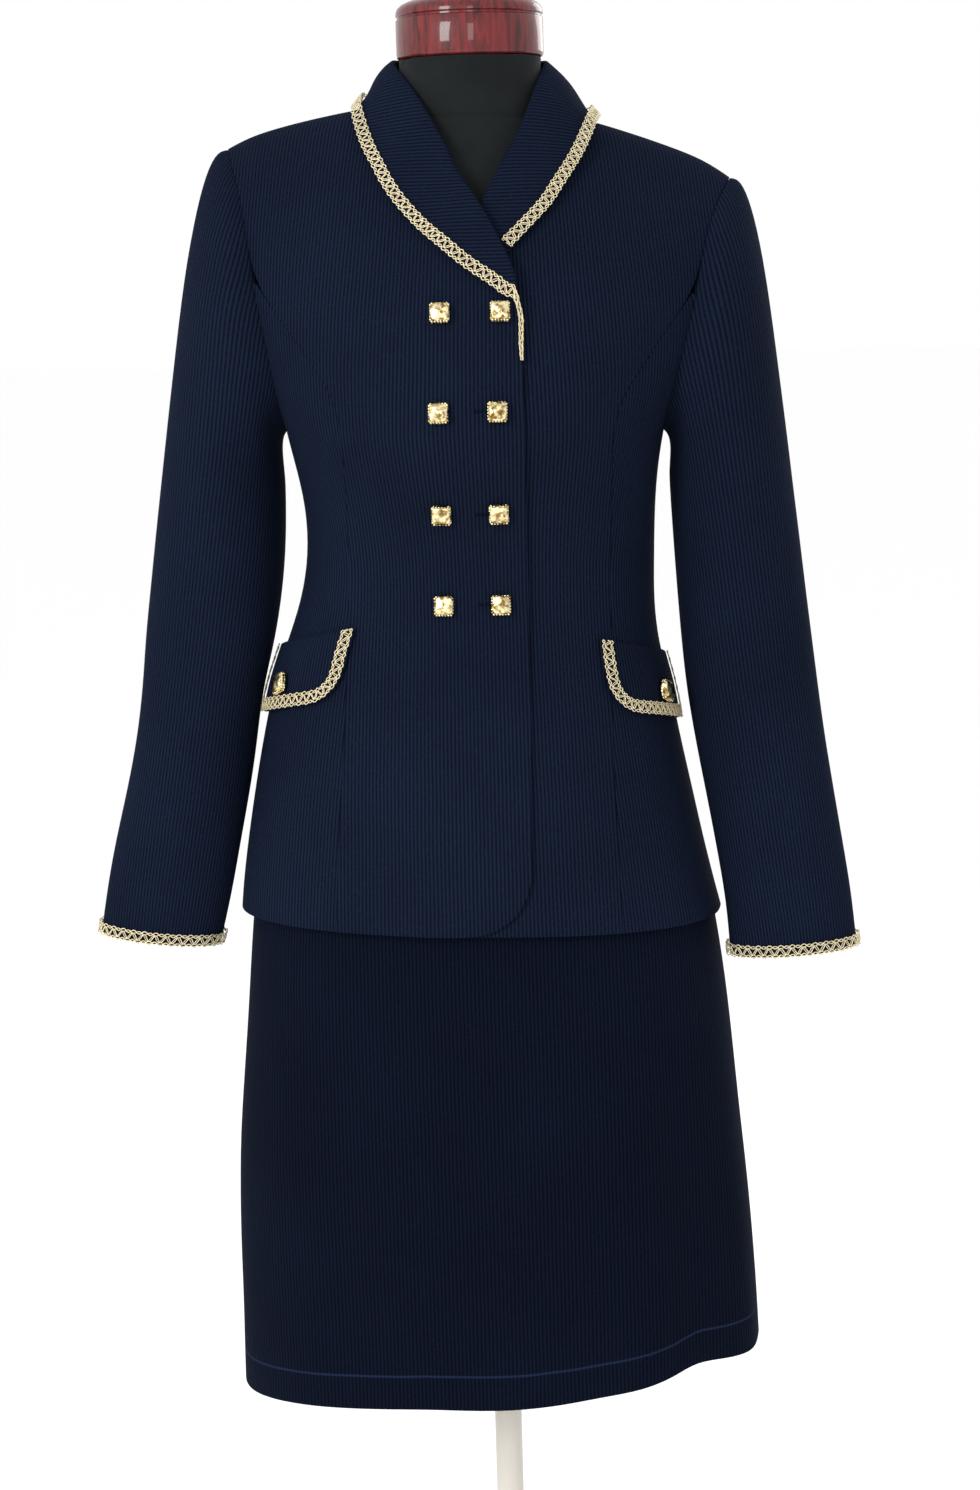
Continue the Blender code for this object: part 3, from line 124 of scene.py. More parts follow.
def makeKnit(name, look, hemHeight=0.0):
    material, tree, shader = startMaterial(name, {
        "Roughness": look["roughness"], "Specular IOR Level": look["specular"],
        "Sheen Weight": look["sheen"], "Sheen Roughness": 0.45, "Sheen Tint": colour(look["sheenTint"]),
    })
    cloth = addNode(tree, "UVMap", {"uv_map": "rib"})
    place = addNode(tree, "TexCoord")
    split = addNode(tree, "SeparateXYZ", links={0: cloth.outputs[0]})
    wander = addNode(tree, "TexNoise", values={"Scale": 22.0, "Detail": 2.0},
                     links={"Vector": place.outputs["Object"]})
    wanderPhase = addNode(tree, "Math", {"operation": "MULTIPLY"}, {1: look["wander"] * 2 * math.pi},
                          {0: wander.outputs[0]})
    across = addNode(tree, "Math", {"operation": "MULTIPLY_ADD"}, {1: 2 * math.pi / look["ribPitch"]},
                     {0: split.outputs[0], 2: wanderPhase.outputs[0]})
    ribWave = addNode(tree, "Math", {"operation": "SINE"}, links={0: across.outputs[0]})
    rib = addNode(tree, "MapRange", {"interpolation_type": "SMOOTHSTEP"},
                  {"From Min": -0.95, "From Max": 0.35}, {"Value": ribWave.outputs[0]})
    # stitches slant both ways from the middle of a rib, as knit loops do
    slant = addNode(tree, "Math", {"operation": "MULTIPLY"}, {1: look["slant"]}, {0: ribWave.outputs[0]})
    along = addNode(tree, "Math", {"operation": "MULTIPLY_ADD"}, {1: 2 * math.pi / look["stitchPitch"]},
                    {0: split.outputs[1], 2: slant.outputs[0]})
    stitchWave = addNode(tree, "Math", {"operation": "SINE"}, links={0: along.outputs[0]})
    fuzz = addNode(tree, "TexNoise", values={"Scale": look["fuzz"], "Detail": 3.0},
                   links={"Vector": place.outputs["Object"]})
    loops = addNode(tree, "Math", {"operation": "MULTIPLY_ADD"}, {1: look["stitchDepth"]},
                    {0: stitchWave.outputs[0], 2: rib.outputs[0]})
    height = addNode(tree, "Math", {"operation": "MULTIPLY_ADD"}, {1: look["fuzzDepth"]},
                     {0: fuzz.outputs[0], 2: loops.outputs[0]})
    bump = addNode(tree, "Bump", values={"Strength": 1.0, "Distance": look["ribHeight"]},
                   links={"Height": height.outputs[0]})
    tree.links.new(bump.outputs[0], shader.inputs["Normal"])
    # painted light and shade of the ribs: darker in the grooves, lighter on the crests
    ribLightAndShade = addNode(tree, "Mix", {"data_type": "RGBA"},
                        {6: colour(look["grooveShade"]), 7: colour(look["crest"])}, {0: rib.outputs[0]})
    # lighter fibres, then broad, faint patches of dye and wear
    fibre = addNode(tree, "MapRange", values={"From Min": 0.52, "From Max": 0.80, "To Max": 0.55},
                    links={"Value": fuzz.outputs[0]})
    flecked = addNode(tree, "Mix", {"data_type": "RGBA"}, {7: colour(look["fleck"])},
                      {0: fibre.outputs[0], 6: ribLightAndShade.outputs[2]})
    patches = addNode(tree, "TexNoise", values={"Scale": 7.0, "Detail": 3.0},
                      links={"Vector": place.outputs["Object"]})
    shade = addNode(tree, "MapRange",
                    values={"From Min": 0.3, "From Max": 0.7, "To Min": 0.86, "To Max": 1.12},
                    links={"Value": patches.outputs[0]})
    shaded = addNode(tree, "HueSaturation", links={"Value": shade.outputs[0], "Color": flecked.outputs[2]})
    last = shaded.outputs[0]
    if hemHeight:
        away = addNode(tree, "Math", {"operation": "SUBTRACT"}, {1: hemHeight}, {0: split.outputs[1]})
        near = addNode(tree, "Math", {"operation": "ABSOLUTE"}, links={0: away.outputs[0]})
        line = addNode(tree, "MapRange",
                       values={"From Min": 0.4 * mm, "From Max": 1.3 * mm, "To Min": 0.8, "To Max": 0.0},
                       links={"Value": near.outputs[0]})
        hemmed = addNode(tree, "Mix", {"data_type": "RGBA"}, {7: colour(look["hemLine"])},
                         {0: line.outputs[0], 6: last})
        last = hemmed.outputs[2]
    tree.links.new(last, shader.inputs["Base Color"])
    return material


# gimp braid: metallised thread wound on a soft core; along each cord the thread's tone varies, and its short
# light dashes are painted glints
braidPaintedGlintLook = {"light": "#f3e9c9", "dark": "#b09b66", "roughness": 0.42, "metallic": 0.30, "thread": 0.30 * mm}


def makeBraidThread(look):
    material, tree, shader = startMaterial("gimpBraidThread", {
        "Roughness": look["roughness"], "Metallic": look["metallic"], "Specular IOR Level": 0.5})
    place = addNode(tree, "TexCoord")
    threads = addNode(tree, "TexNoise", values={"Scale": 0.5 / look["thread"], "Detail": 2.0},
                      links={"Vector": place.outputs["Object"]})
    # the light dashes mixed into the thread's colour here are painted glints
    tone = addNode(tree, "MapRange", values={"From Min": 0.36, "From Max": 0.60},
                   links={"Value": threads.outputs[0]})
    mixed = addNode(tree, "Mix", {"data_type": "RGBA"}, {6: colour(look["dark"]), 7: colour(look["light"])},
                    {0: tone.outputs[0]})
    bump = addNode(tree, "Bump", values={"Strength": 0.6, "Distance": 0.12 * mm},
                   links={"Height": threads.outputs[0]})
    tree.links.new(mixed.outputs[2], shader.inputs["Base Color"])
    tree.links.new(bump.outputs[0], shader.inputs["Normal"])
    return material


# cast and gold plated: pale gold, with random brown patches that are painted dark reflections
goldLook = {"bright": "#f2e4b4", "darkReflection": "#8c6c34", "polished": 0.14, "worn": 0.34, "grain": 3.6 * mm}


def makeGold(look):
    material, tree, shader = startMaterial("goldPlate", {"Metallic": 1.0})
    place = addNode(tree, "TexCoord")
    grain = addNode(tree, "TexNoise", values={"Scale": 1 / look["grain"], "Detail": 4.0},
                    links={"Vector": place.outputs["Object"]})
    tone = addNode(tree, "MapRange", values={"From Min": 0.38, "From Max": 0.56},
                   links={"Value": grain.outputs[0]})
    # the brown patches mixed in here by noise are painted dark reflections
    mixed = addNode(tree, "Mix", {"data_type": "RGBA"}, {6: colour(look["darkReflection"]), 7: colour(look["bright"])},
                    {0: tone.outputs[0]})
    worn = addNode(tree, "MapRange",
                   values={"From Min": 0.3, "From Max": 0.7,
                           "To Min": look["polished"], "To Max": look["worn"]},
                   links={"Value": grain.outputs[0]})
    bump = addNode(tree, "Bump", values={"Strength": 0.7, "Distance": 0.25 * mm},
                   links={"Height": grain.outputs[0]})
    tree.links.new(mixed.outputs[2], shader.inputs["Base Color"])
    tree.links.new(worn.outputs[0], shader.inputs["Roughness"])
    tree.links.new(bump.outputs[0], shader.inputs["Normal"])
    return material


# cotton jersey, black, a little faded, with a fine vertical knit
jerseyLook = {"colour": "#0d1011", "faded": "#181c1d", "roughness": 0.85, "wale": 0.9 * mm}


def makeJersey(look):
    material, tree, shader = startMaterial("blackJersey", {
        "Roughness": look["roughness"], "Specular IOR Level": 0.14, "Sheen Weight": 0.04,
        "Sheen Roughness": 0.5})
    place = addNode(tree, "TexCoord")
    wales = addNode(tree, "TexWave", {"wave_type": "BANDS", "bands_direction": "X"},
                    {"Scale": 0.314 / look["wale"], "Distortion": 0.6, "Detail": 1.0},
                    {"Vector": place.outputs["Object"]})
    patches = addNode(tree, "TexNoise", values={"Scale": 14.0, "Detail": 4.0},
                      links={"Vector": place.outputs["Object"]})
    tone = addNode(tree, "MapRange", values={"From Min": 0.35, "From Max": 0.7},
                   links={"Value": patches.outputs[0]})
    mixed = addNode(tree, "Mix", {"data_type": "RGBA"}, {6: colour(look["colour"]), 7: colour(look["faded"])},
                    {0: tone.outputs[0]})
    bump = addNode(tree, "Bump", values={"Strength": 0.5, "Distance": 0.15 * mm},
                   links={"Height": wales.outputs[0]})
    tree.links.new(mixed.outputs[2], shader.inputs["Base Color"])
    tree.links.new(bump.outputs[0], shader.inputs["Normal"])
    return material


# turned mahogany under thick clear lacquer: deep red brown, fine dark pores, a mirror-like coat
woodLook = {"light": "#6e1a1c", "dark": "#3a0b0e", "pore": 1.1 * mm, "roughness": 0.40, "coatRoughness": 0.06}


def makeWood(look):
    material, tree, shader = startMaterial("lacqueredMahogany", {
        "Roughness": look["roughness"], "Specular IOR Level": 0.2, "Coat Weight": 0.55,
        "Coat Roughness": look["coatRoughness"]})
    place = addNode(tree, "TexCoord")
    stretch = addNode(tree, "Mapping", values={"Scale": (1.0, 1.0, 0.12)},
                      links={"Vector": place.outputs["Object"]})
    grain = addNode(tree, "TexNoise", values={"Scale": 0.25 / look["pore"], "Detail": 6.0, "Distortion": 0.8},
                    links={"Vector": stretch.outputs[0]})
    tone = addNode(tree, "MapRange", values={"From Min": 0.35, "From Max": 0.65},
                   links={"Value": grain.outputs[0]})
    mixed = addNode(tree, "Mix", {"data_type": "RGBA"}, {6: colour(look["dark"]), 7: colour(look["light"])},
                    {0: tone.outputs[0]})
    bump = addNode(tree, "Bump", values={"Strength": 0.15, "Distance": 0.1 * mm},
                   links={"Height": grain.outputs[0]})
    tree.links.new(mixed.outputs[2], shader.inputs["Base Color"])
    tree.links.new(bump.outputs[0], shader.inputs["Normal"])
    return material


# powder-coated steel: an even satin skin with a faint orange-peel and a little uneven dust
paintLook = {"pole": "#cdc7bd", "base": "#c9c3b8", "peel": 1.4 * mm, "roughness": 0.36}


def makePaint(name, hexValue, look):
    material, tree, shader = startMaterial(name, {"Roughness": look["roughness"]})
    place = addNode(tree, "TexCoord")
    peel = addNode(tree, "TexNoise", values={"Scale": 1 / look["peel"], "Detail": 2.0},
                   links={"Vector": place.outputs["Object"]})
    dust = addNode(tree, "TexNoise", values={"Scale": 9.0, "Detail": 5.0},
                   links={"Vector": place.outputs["Object"]})
    tone = addNode(tree, "MapRange",
                   values={"From Min": 0.3, "From Max": 0.7, "To Min": 0.93, "To Max": 1.04},
                   links={"Value": dust.outputs[0]})
    tinted = addNode(tree, "HueSaturation", values={"Color": colour(hexValue)},
                     links={"Value": tone.outputs[0]})
    bump = addNode(tree, "Bump", values={"Strength": 0.12, "Distance": 0.1 * mm},
                   links={"Height": peel.outputs[0]})
    tree.links.new(tinted.outputs[0], shader.inputs["Base Color"])
    tree.links.new(bump.outputs[0], shader.inputs["Normal"])
    return material


skirtHem = {"lineHeight": 29 * mm, "steps": 48}
knit = makeKnit("navyRibKnit", knitLook)
# the skirt's knit is the darker copy, with the skirt's shade painted into its colours
skirtShadedKnit = makeKnit("navyRibKnitHemmedShaded", skirtShadedLook, skirtHem["lineHeight"])
braidThread = makeBraidThread(braidPaintedGlintLook)
gold = makeGold(goldLook)
jersey = makeJersey(jerseyLook)
wood = makeWood(woodLook)
polePaint = makePaint("polePaint", paintLook["pole"], paintLook)
basePaint = makePaint("basePaint", paintLook["base"], paintLook)
print("materials made")


# meshes from the frame

mergeWithin = {"node": 0.02 * mm, "braid": 0.005 * mm, "turned": 0.01 * mm}
flatJoin = {"face": 40, "shape": 120}


def mergedNode(nodeName):
    bm = bmesh.new()
    bm.from_mesh(nodes[nodeName].data)
    bmesh.ops.remove_doubles(bm, verts=bm.verts, dist=mergeWithin["node"])
    return bm


def joinFlatFaces(bm):
    bmesh.ops.join_triangles(bm, faces=bm.faces, angle_face_threshold=math.radians(flatJoin["face"]),
                             angle_shape_threshold=math.radians(flatJoin["shape"]))


def addPiece(name, mesh, material, replaced):
    piece = bpy.data.objects.new(name, mesh)
    bpy.context.scene.collection.objects.link(piece)
    mesh.materials.clear()
    mesh.materials.append(material)
    mesh.shade_smooth()
    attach(piece, "root")
    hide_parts(*replaced)
    return piece


def meshOf(bm, name):
    mesh = bpy.data.meshes.new(name)
    bm.to_mesh(mesh)
    bm.free()
    return mesh


def finalMesh(holder):
    bpy.context.view_layer.update()
    made = bpy.data.meshes.new_from_object(holder.evaluated_get(bpy.context.evaluated_depsgraph_get()))
    bpy.data.objects.remove(holder)
    return made


def subdividedMesh(mesh, levels):
    holder = bpy.data.objects.new("holder", mesh)
    bpy.context.scene.collection.objects.link(holder)
    rounder = holder.modifiers.new("Round", "SUBSURF")
    rounder.levels = rounder.render_levels = levels
    rounder.boundary_smooth = "PRESERVE_CORNERS"
    return finalMesh(holder)


# The outer side of a cloth wall, as one open sheet: faces that join a first one without a sharp edge.
def outerSkin(nodeName, outside, sharpAngle):
    bm = mergedNode(nodeName)
    joinFlatFaces(bm)
    widest = max(face.calc_area() for face in bm.faces)
    fullFaces = [face for face in bm.faces if face.calc_area() > clothMaking["fullShare"] * widest]
    first = min(fullFaces, key=lambda face: (face.calc_center_median() - outside).length)
    kept, waiting = {first}, [first]
    while waiting:
        for edge in waiting.pop().edges:
            if len(edge.link_faces) != 2 or edge.calc_face_angle() > math.radians(sharpAngle):
                continue
            for face in edge.link_faces:
                if face not in kept:
                    kept.add(face)
                    waiting.append(face)
    bmesh.ops.delete(bm, geom=[face for face in bm.faces if face not in kept], context="FACES")
    return bm


ribFlow = {"slice": 0.02, "levelFrom": 0.35, "levelOver": 0.5, "forward": 0.8, "rounds": 900, "enough": 1e-14}


# The angle of each point round a tube's middle line, which is pi at the side where the tube is sewn up.
def turnsRound(points, seamSide):
    cell = ((points[:, 2] - points[:, 2].min()) / ribFlow["slice"]).astype(int)
    size = np.maximum(np.bincount(cell), 1)
    centre = np.stack([np.bincount(cell, points[:, axis]) / size for axis in (0, 1)], 1)[cell]
    away = points[:, :2] - centre
    seam = np.array(seamSide)
    return np.arctan2(away[:, 0] * seam[1] - away[:, 1] * seam[0], -(away @ seam))


# Lays the rib pattern on a sheet: across and along the ribs in metres, as even as the sheet's shape allows.
def layRibs(mesh, grain, ribsLevel, alongFrom, seamSide):
    count = len(mesh.vertices)
    points = np.zeros(count * 3)
    mesh.vertices.foreach_get("co", points)
    points = points.reshape(-1, 3)
    normals = np.array([v.normal for v in mesh.vertices])
    run = np.tile(np.array(Vector(grain).normalized()), (count, 1))
    # where the cloth lies level, as on a shoulder, the ribs run forward
    level = np.clip((normals[:, 2] - ribFlow["levelFrom"]) / ribFlow["levelOver"], 0, 1)[:, None]
    run = run + level * np.array([0, ribFlow["forward"], 0]) * np.sign(-normals[:, 1:2] + 1e-9)
    run -= normals * (run * normals).sum(1, keepdims=True)
    run /= np.maximum(np.linalg.norm(run, axis=1, keepdims=True), 1e-6)
    side = np.cross(run, normals)
    if ribsLevel:
        run, side = side, run
    ends = np.zeros(len(mesh.edges) * 2, int)
    mesh.edges.foreach_get("vertices", ends)
    a, b = ends.reshape(-1, 2).T
    turns = turnsRound(points, seamSide) if seamSide else np.zeros(count)
    whole = np.abs(turns[a] - turns[b]) < math.pi
    a, b = a[whole], b[whole]
    step = points[b] - points[a]

    def spread(direction):
        wanted = (step * (direction[a] + direction[b])).sum(1) / 2
        target = np.bincount(b, wanted, count) - np.bincount(a, wanted, count)
        found, rest = np.zeros(count), target.copy()
        search, size = rest.copy(), rest @ rest
        for _ in range(ribFlow["rounds"]):
            gap = search[b] - search[a]
            pushed = np.bincount(b, gap, count) - np.bincount(a, gap, count)
            share = size / max(search @ pushed, 1e-30)
            found += share * search
            rest -= share * pushed
            nextSize = rest @ rest
            if nextSize < ribFlow["enough"]:
                break
            search = rest + nextSize / size * search
            size = nextSize
        return found

    acrossRibs, alongRibs = spread(side), spread(run)
    if alongFrom:
        alongRibs = alongFrom(points)
    layer = mesh.uv_layers.new(name="rib")
    corners = np.zeros(len(mesh.loops), int)
    mesh.loops.foreach_get("vertex_index", corners)
    layer.data.foreach_set("uv", np.stack([acrossRibs[corners], alongRibs[corners]], 1).ravel())
    # faces over the seam go on from the side where the turn is positive
    for face in mesh.polygons:
        before = [v for v in face.vertices if turns[v] > 0]
        after = [v for v in face.vertices if turns[v] <= 0]
        if not before or not after or turns[before].min() - turns[after].max() < math.pi:
            continue
        onward = np.sign(acrossRibs[before].mean() - acrossRibs[after].mean())
        for corner, v in zip(face.loop_indices, face.vertices):
            if v in after:
                reach = np.linalg.norm(points[before] - points[v], axis=1)
                nearest = before[int(reach.argmin())]
                layer.data[corner].uv = (acrossRibs[nearest] + onward * reach.min(), alongRibs[nearest])


foldEnds = {"reach": 0.12, "slope": 4}


# How far a soft fold moves a point, out of the cloth or into it. A fold fades at both its ends.
def foldDepth(point, folds):
    total = 0.0
    for fold in folds:
        start, end = Vector(fold["start"]), Vector(fold["end"])
        line = end - start
        share = (point - start).dot(line) / line.length_squared
        nearest = start + line * min(max(share, 0.0), 1.0)
        beyond = max(-share, share - 1, 0.0) * line.length / fold["width"]
        away = (point - nearest).length / fold["width"]
        fade = min(1.0, foldEnds["slope"] * max(min(share, 1 - share) + foldEnds["reach"], 0.0))
        if beyond:
            fade = foldEnds["slope"] * foldEnds["reach"] * math.exp(-beyond * beyond)
        total += fold["depth"] * math.exp(-away * away) * fade
    return total


softWaves = {"depth": 0.5 * mm, "size": 90 * mm}


def foldMesh(mesh, folds):
    normals = [v.normal.copy() for v in mesh.vertices]
    for vertex, normal in zip(mesh.vertices, normals):
        wave = noise.noise(vertex.co / softWaves["size"]) * softWaves["depth"]
        vertex.co += normal * (foldDepth(vertex.co, folds) + wave)


# Cloth pieces. outside is a point beyond the piece's outer side, flat is the cut before making up.
jacketFolds = [
    {"start": (-0.150, -0.060, 1.135), "end": (-0.070, -0.105, 1.150), "width": 0.012, "depth": -0.9 * mm},
    {"start": (-0.145, -0.060, 1.100), "end": (-0.075, -0.100, 1.118), "width": 0.010, "depth": -0.6 * mm},
    {"start": (0.140, -0.060, 1.130), "end": (0.070, -0.105, 1.148), "width": 0.012, "depth": -0.8 * mm},
    {"start": (-0.165, -0.070, 1.330), "end": (-0.110, -0.125, 1.270), "width": 0.016, "depth": -1.2 * mm},
    {"start": (0.165, -0.070, 1.330), "end": (0.115, -0.125, 1.265), "width": 0.016, "depth": -1.2 * mm},
    {"start": (-0.120, 0.085, 1.140), "end": (-0.010, 0.098, 1.125), "width": 0.012, "depth": -1.4 * mm},
    {"start": (0.120, 0.085, 1.135), "end": (0.020, 0.098, 1.118), "width": 0.012, "depth": -1.3 * mm},
    {"start": (-0.160, 0.060, 1.400), "end": (-0.120, 0.100, 1.280), "width": 0.018, "depth": -1.6 * mm},
    {"start": (0.160, 0.060, 1.395), "end": (0.120, 0.100, 1.275), "width": 0.018, "depth": -1.6 * mm},
]
rightSleeveFolds = [
    {"start": (-0.215, -0.050, 1.100), "end": (-0.265, -0.040, 1.060), "width": 0.012, "depth": -1.8 * mm},
    {"start": (-0.205, -0.035, 1.060), "end": (-0.250, -0.055, 1.020), "width": 0.011, "depth": -1.5 * mm},
    {"start": (-0.228, -0.058, 1.180), "end": (-0.245, -0.060, 0.960), "width": 0.016, "depth": -1.2 * mm},
    {"start": (-0.250, 0.045, 1.090), "end": (-0.200, 0.035, 1.050), "width": 0.012, "depth": -2.0 * mm},
    {"start": (-0.205, -0.045, 1.330), "end": (-0.200, -0.055, 1.230), "width": 0.013, "depth": -1.6 * mm},
    {"start": (-0.205, 0.055, 1.330), "end": (-0.200, 0.060, 1.230), "width": 0.014, "depth": -1.8 * mm},
]
leftSleeveFolds = [
    {"start": (0.198, -0.050, 1.090), "end": (0.248, -0.040, 1.050), "width": 0.012, "depth": -1.8 * mm},
    {"start": (0.190, -0.035, 1.050), "end": (0.235, -0.055, 1.010), "width": 0.011, "depth": -1.4 * mm},
    {"start": (0.212, -0.058, 1.170), "end": (0.228, -0.060, 0.950), "width": 0.016, "depth": -1.2 * mm},
    {"start": (0.235, 0.045, 1.085), "end": (0.185, 0.035, 1.040), "width": 0.012, "depth": -2.0 * mm},
    {"start": (0.192, -0.045, 1.325), "end": (0.188, -0.055, 1.225), "width": 0.013, "depth": -1.6 * mm},
    {"start": (0.192, 0.055, 1.325), "end": (0.188, 0.060, 1.225), "width": 0.014, "depth": -1.8 * mm},
]
skirtFolds = [
    {"start": (0.150, -0.095, 0.800), "end": (0.158, -0.100, 0.500), "width": 0.014, "depth": -1.5 * mm},
    {"start": (-0.110, -0.120, 0.720), "end": (-0.118, -0.120, 0.480), "width": 0.022, "depth": -1.2 * mm},
    {"start": (-0.020, -0.130, 0.700), "end": (-0.012, -0.130, 0.470), "width": 0.026, "depth": -1.0 * mm},
    {"start": (0.070, -0.125, 0.760), "end": (0.078, -0.125, 0.470), "width": 0.024, "depth": -1.0 * mm},
    {"start": (-0.090, 0.120, 0.760), "end": (-0.098, 0.120, 0.470), "width": 0.024, "depth": -1.8 * mm},
    {"start": (0.060, 0.120, 0.780), "end": (0.070, 0.120, 0.470), "width": 0.022, "depth": -1.6 * mm},
]

clothPieces = {
    "rightFront": {"node": "right_front", "outside": (-0.06, -0.3, 1.10), "flat": (0.230, 0.640),
                   "folds": jacketFolds},
    "leftFront": {"node": "left_front", "outside": (0.06, -0.3, 1.10), "flat": (0.230, 0.640),
                  "folds": jacketFolds},
    "rightSideFront": {"node": "right_side_front", "outside": (-0.3, -0.15, 1.10), "flat": (0.150, 0.530),
                       "folds": jacketFolds},
    "leftSideFront": {"node": "left_side_front", "outside": (0.3, -0.15, 1.10), "flat": (0.150, 0.530),
                      "folds": jacketFolds},
    "jacketBack": {"node": "back", "outside": (0, 0.4, 1.10), "flat": (0.500, 0.660), "folds": jacketFolds},
    "rightSleeve": {"node": "right_sleeve", "outside": (-0.5, 0, 1.05), "flat": (0.390, 0.640),
                    "folds": rightSleeveFolds, "grain": (0.17, 0.08, 1.0), "seamSide": (1, 0),
                    "armholeSide": -1},
    "leftSleeve": {"node": "left_sleeve", "outside": (0.5, 0, 1.05), "flat": (0.390, 0.640),
                   "folds": leftSleeveFolds, "grain": (-0.13, 0.08, 1.0), "seamSide": (-1, 0),
                   "armholeSide": 1},
    "shawlCollar": {"node": "shawl_collar", "outside": (-0.075, -0.3, 1.46), "flat": (0.640, 0.125),
                    "folds": [],
                    "ribsLevel": True, "held": "folded"},
    "rightPocketFlap": {"node": "right_pocket_flap", "outside": (-0.2, -0.25, 1.06), "flat": (0.120, 0.060),
                        "folds": []},
    "leftPocketFlap": {"node": "left_pocket_flap", "outside": (0.2, -0.25, 1.05), "flat": (0.120, 0.060),
                       "folds": []},
    "skirtFront": {"node": "skirt_front", "outside": (0, -0.4, 0.70), "flat": (0.530, 0.655),
                   "folds": skirtFolds,
                   "hemmed": True},
    "skirtBack": {"node": "skirt_back", "outside": (0, 0.4, 0.70), "flat": (0.530, 0.655),
                  "folds": skirtFolds,
                  "hemmed": True},
    "skirtWaistband": {"node": "skirt_waistband", "outside": (0, -0.4, 1.115), "flat": (0.735, 0.030),
                       "folds": [],
                       "seamSide": (0, 1)},
}
clothMaking = {"thickness": 1.9 * mm, "sharpAngle": 65, "fullShare": 0.3, "edgeRound": 0.6 * mm,
               "edgeAngle": 60,
               "levels": 2}


# Height above the skirt's hem at each point, from the lowest points round it.
def heightOverHem(points):
    turns = np.arctan2(points[:, 0], -points[:, 1])
    steps = skirtHem["steps"]
    cell = ((turns + math.pi) / (2 * math.pi) * steps).astype(int) % steps
    lowest = np.full(steps, np.inf)
    np.minimum.at(lowest, cell, points[:, 2])
    known = np.isfinite(lowest)
    lowest = np.interp(np.arange(steps), np.arange(steps)[known], lowest[known])
    place = (turns + math.pi) / (2 * math.pi) * steps - 0.5
    return points[:, 2] - np.interp(place, np.arange(steps), lowest)


# Turns in a narrow seam allowance round the sleeve head, which closes the seam where it is seen edge on.
def turnInArmhole(mesh, side, allowance):
    bm = bmesh.new()
    bm.from_mesh(mesh)
    rim = [edge for edge in bm.edges if len(edge.link_faces) == 1 and edge.verts[0].co.z > allowance["above"]]
    middle = sum((edge.verts[0].co for edge in rim), Vector()) / len(rim)
    turned = bmesh.ops.extrude_edge_only(bm, edges=rim)["geom"]
    for vertex in [item for item in turned if isinstance(item, bmesh.types.BMVert)]:
        inward = middle - vertex.co
        inward.x = 0
        vertex.co += (Vector((-side * allowance["across"], 0, 0)) + inward.normalized()) * allowance["width"]
    bm.to_mesh(mesh)
    bm.free()


armhole = {"above": 1.22, "across": 0.8, "width": 4 * mm}


def makeCloth(name, piece):
    bm = outerSkin(piece["node"], Vector(piece["outside"]), clothMaking["sharpAngle"])
    mesh = subdividedMesh(meshOf(bm, name), clothMaking["levels"])
    mesh.name = name
    foldMesh(mesh, piece["folds"])
    if "armholeSide" in piece:
        turnInArmhole(mesh, piece["armholeSide"], armhole)
    layRibs(mesh, piece.get("grain", (0, 0, 1)), piece.get("ribsLevel", False),
            heightOverHem if piece.get("hemmed") else None, piece.get("seamSide"))
    made = addPiece(name, mesh, skirtShadedKnit if piece.get("hemmed") else knit, [piece["node"]])
    wall = made.modifiers.new("Wall", "SOLIDIFY")
    wall.thickness, wall.offset, wall.use_even_offset = clothMaking["thickness"], -1, True
    rounding = made.modifiers.new("Edges", "BEVEL")
    rounding.width, rounding.segments, rounding.limit_method = clothMaking["edgeRound"], 2, "ANGLE"
    rounding.angle_limit = math.radians(clothMaking["edgeAngle"])
    area = sum(face.area for face in mesh.polygons)
    print(name, "faces", len(mesh.polygons), "area %.4f" % area,
          "of flat %.2f" % (area / (piece["flat"][0] * piece["flat"][1])))
    return made


cloth = {name: makeCloth(name, piece) for name, piece in clothPieces.items()}
print("cloth made")


# the braid: cords laid over each other in zigzags and scallops, along the ribbon that the frame holds

braidShape = {
    "width": 11 * mm, "steps": 14, "lift": 0.15 * mm, "edgeAngle": 104,
    "cords": [
        # in millimetres, but for the phase: a wave in the middle and a scallop along each edge,
        # each of two cords
        {"middle": 0.1, "swing": 2.7, "phase": 0.00, "height": 0.85, "weave": 0.20, "radius": 0.42},
        {"middle": -0.1, "swing": 2.5, "phase": 0.17, "height": 0.55, "weave": -0.20, "radius": 0.34},
        {"middle": 3.9, "swing": 1.30, "phase": 0.00, "height": 0.75, "weave": 0.20, "radius": 0.44},
        {"middle": 3.6, "swing": 1.00, "phase": 0.50, "height": 0.60, "weave": -0.25, "radius": 0.38},
        {"middle": -3.9, "swing": 1.30, "phase": 0.00, "height": 0.75, "weave": -0.20, "radius": 0.44},
        {"middle": -3.6, "swing": 1.00, "phase": 0.50, "height": 0.60, "weave": 0.25, "radius": 0.38},
    ],
}


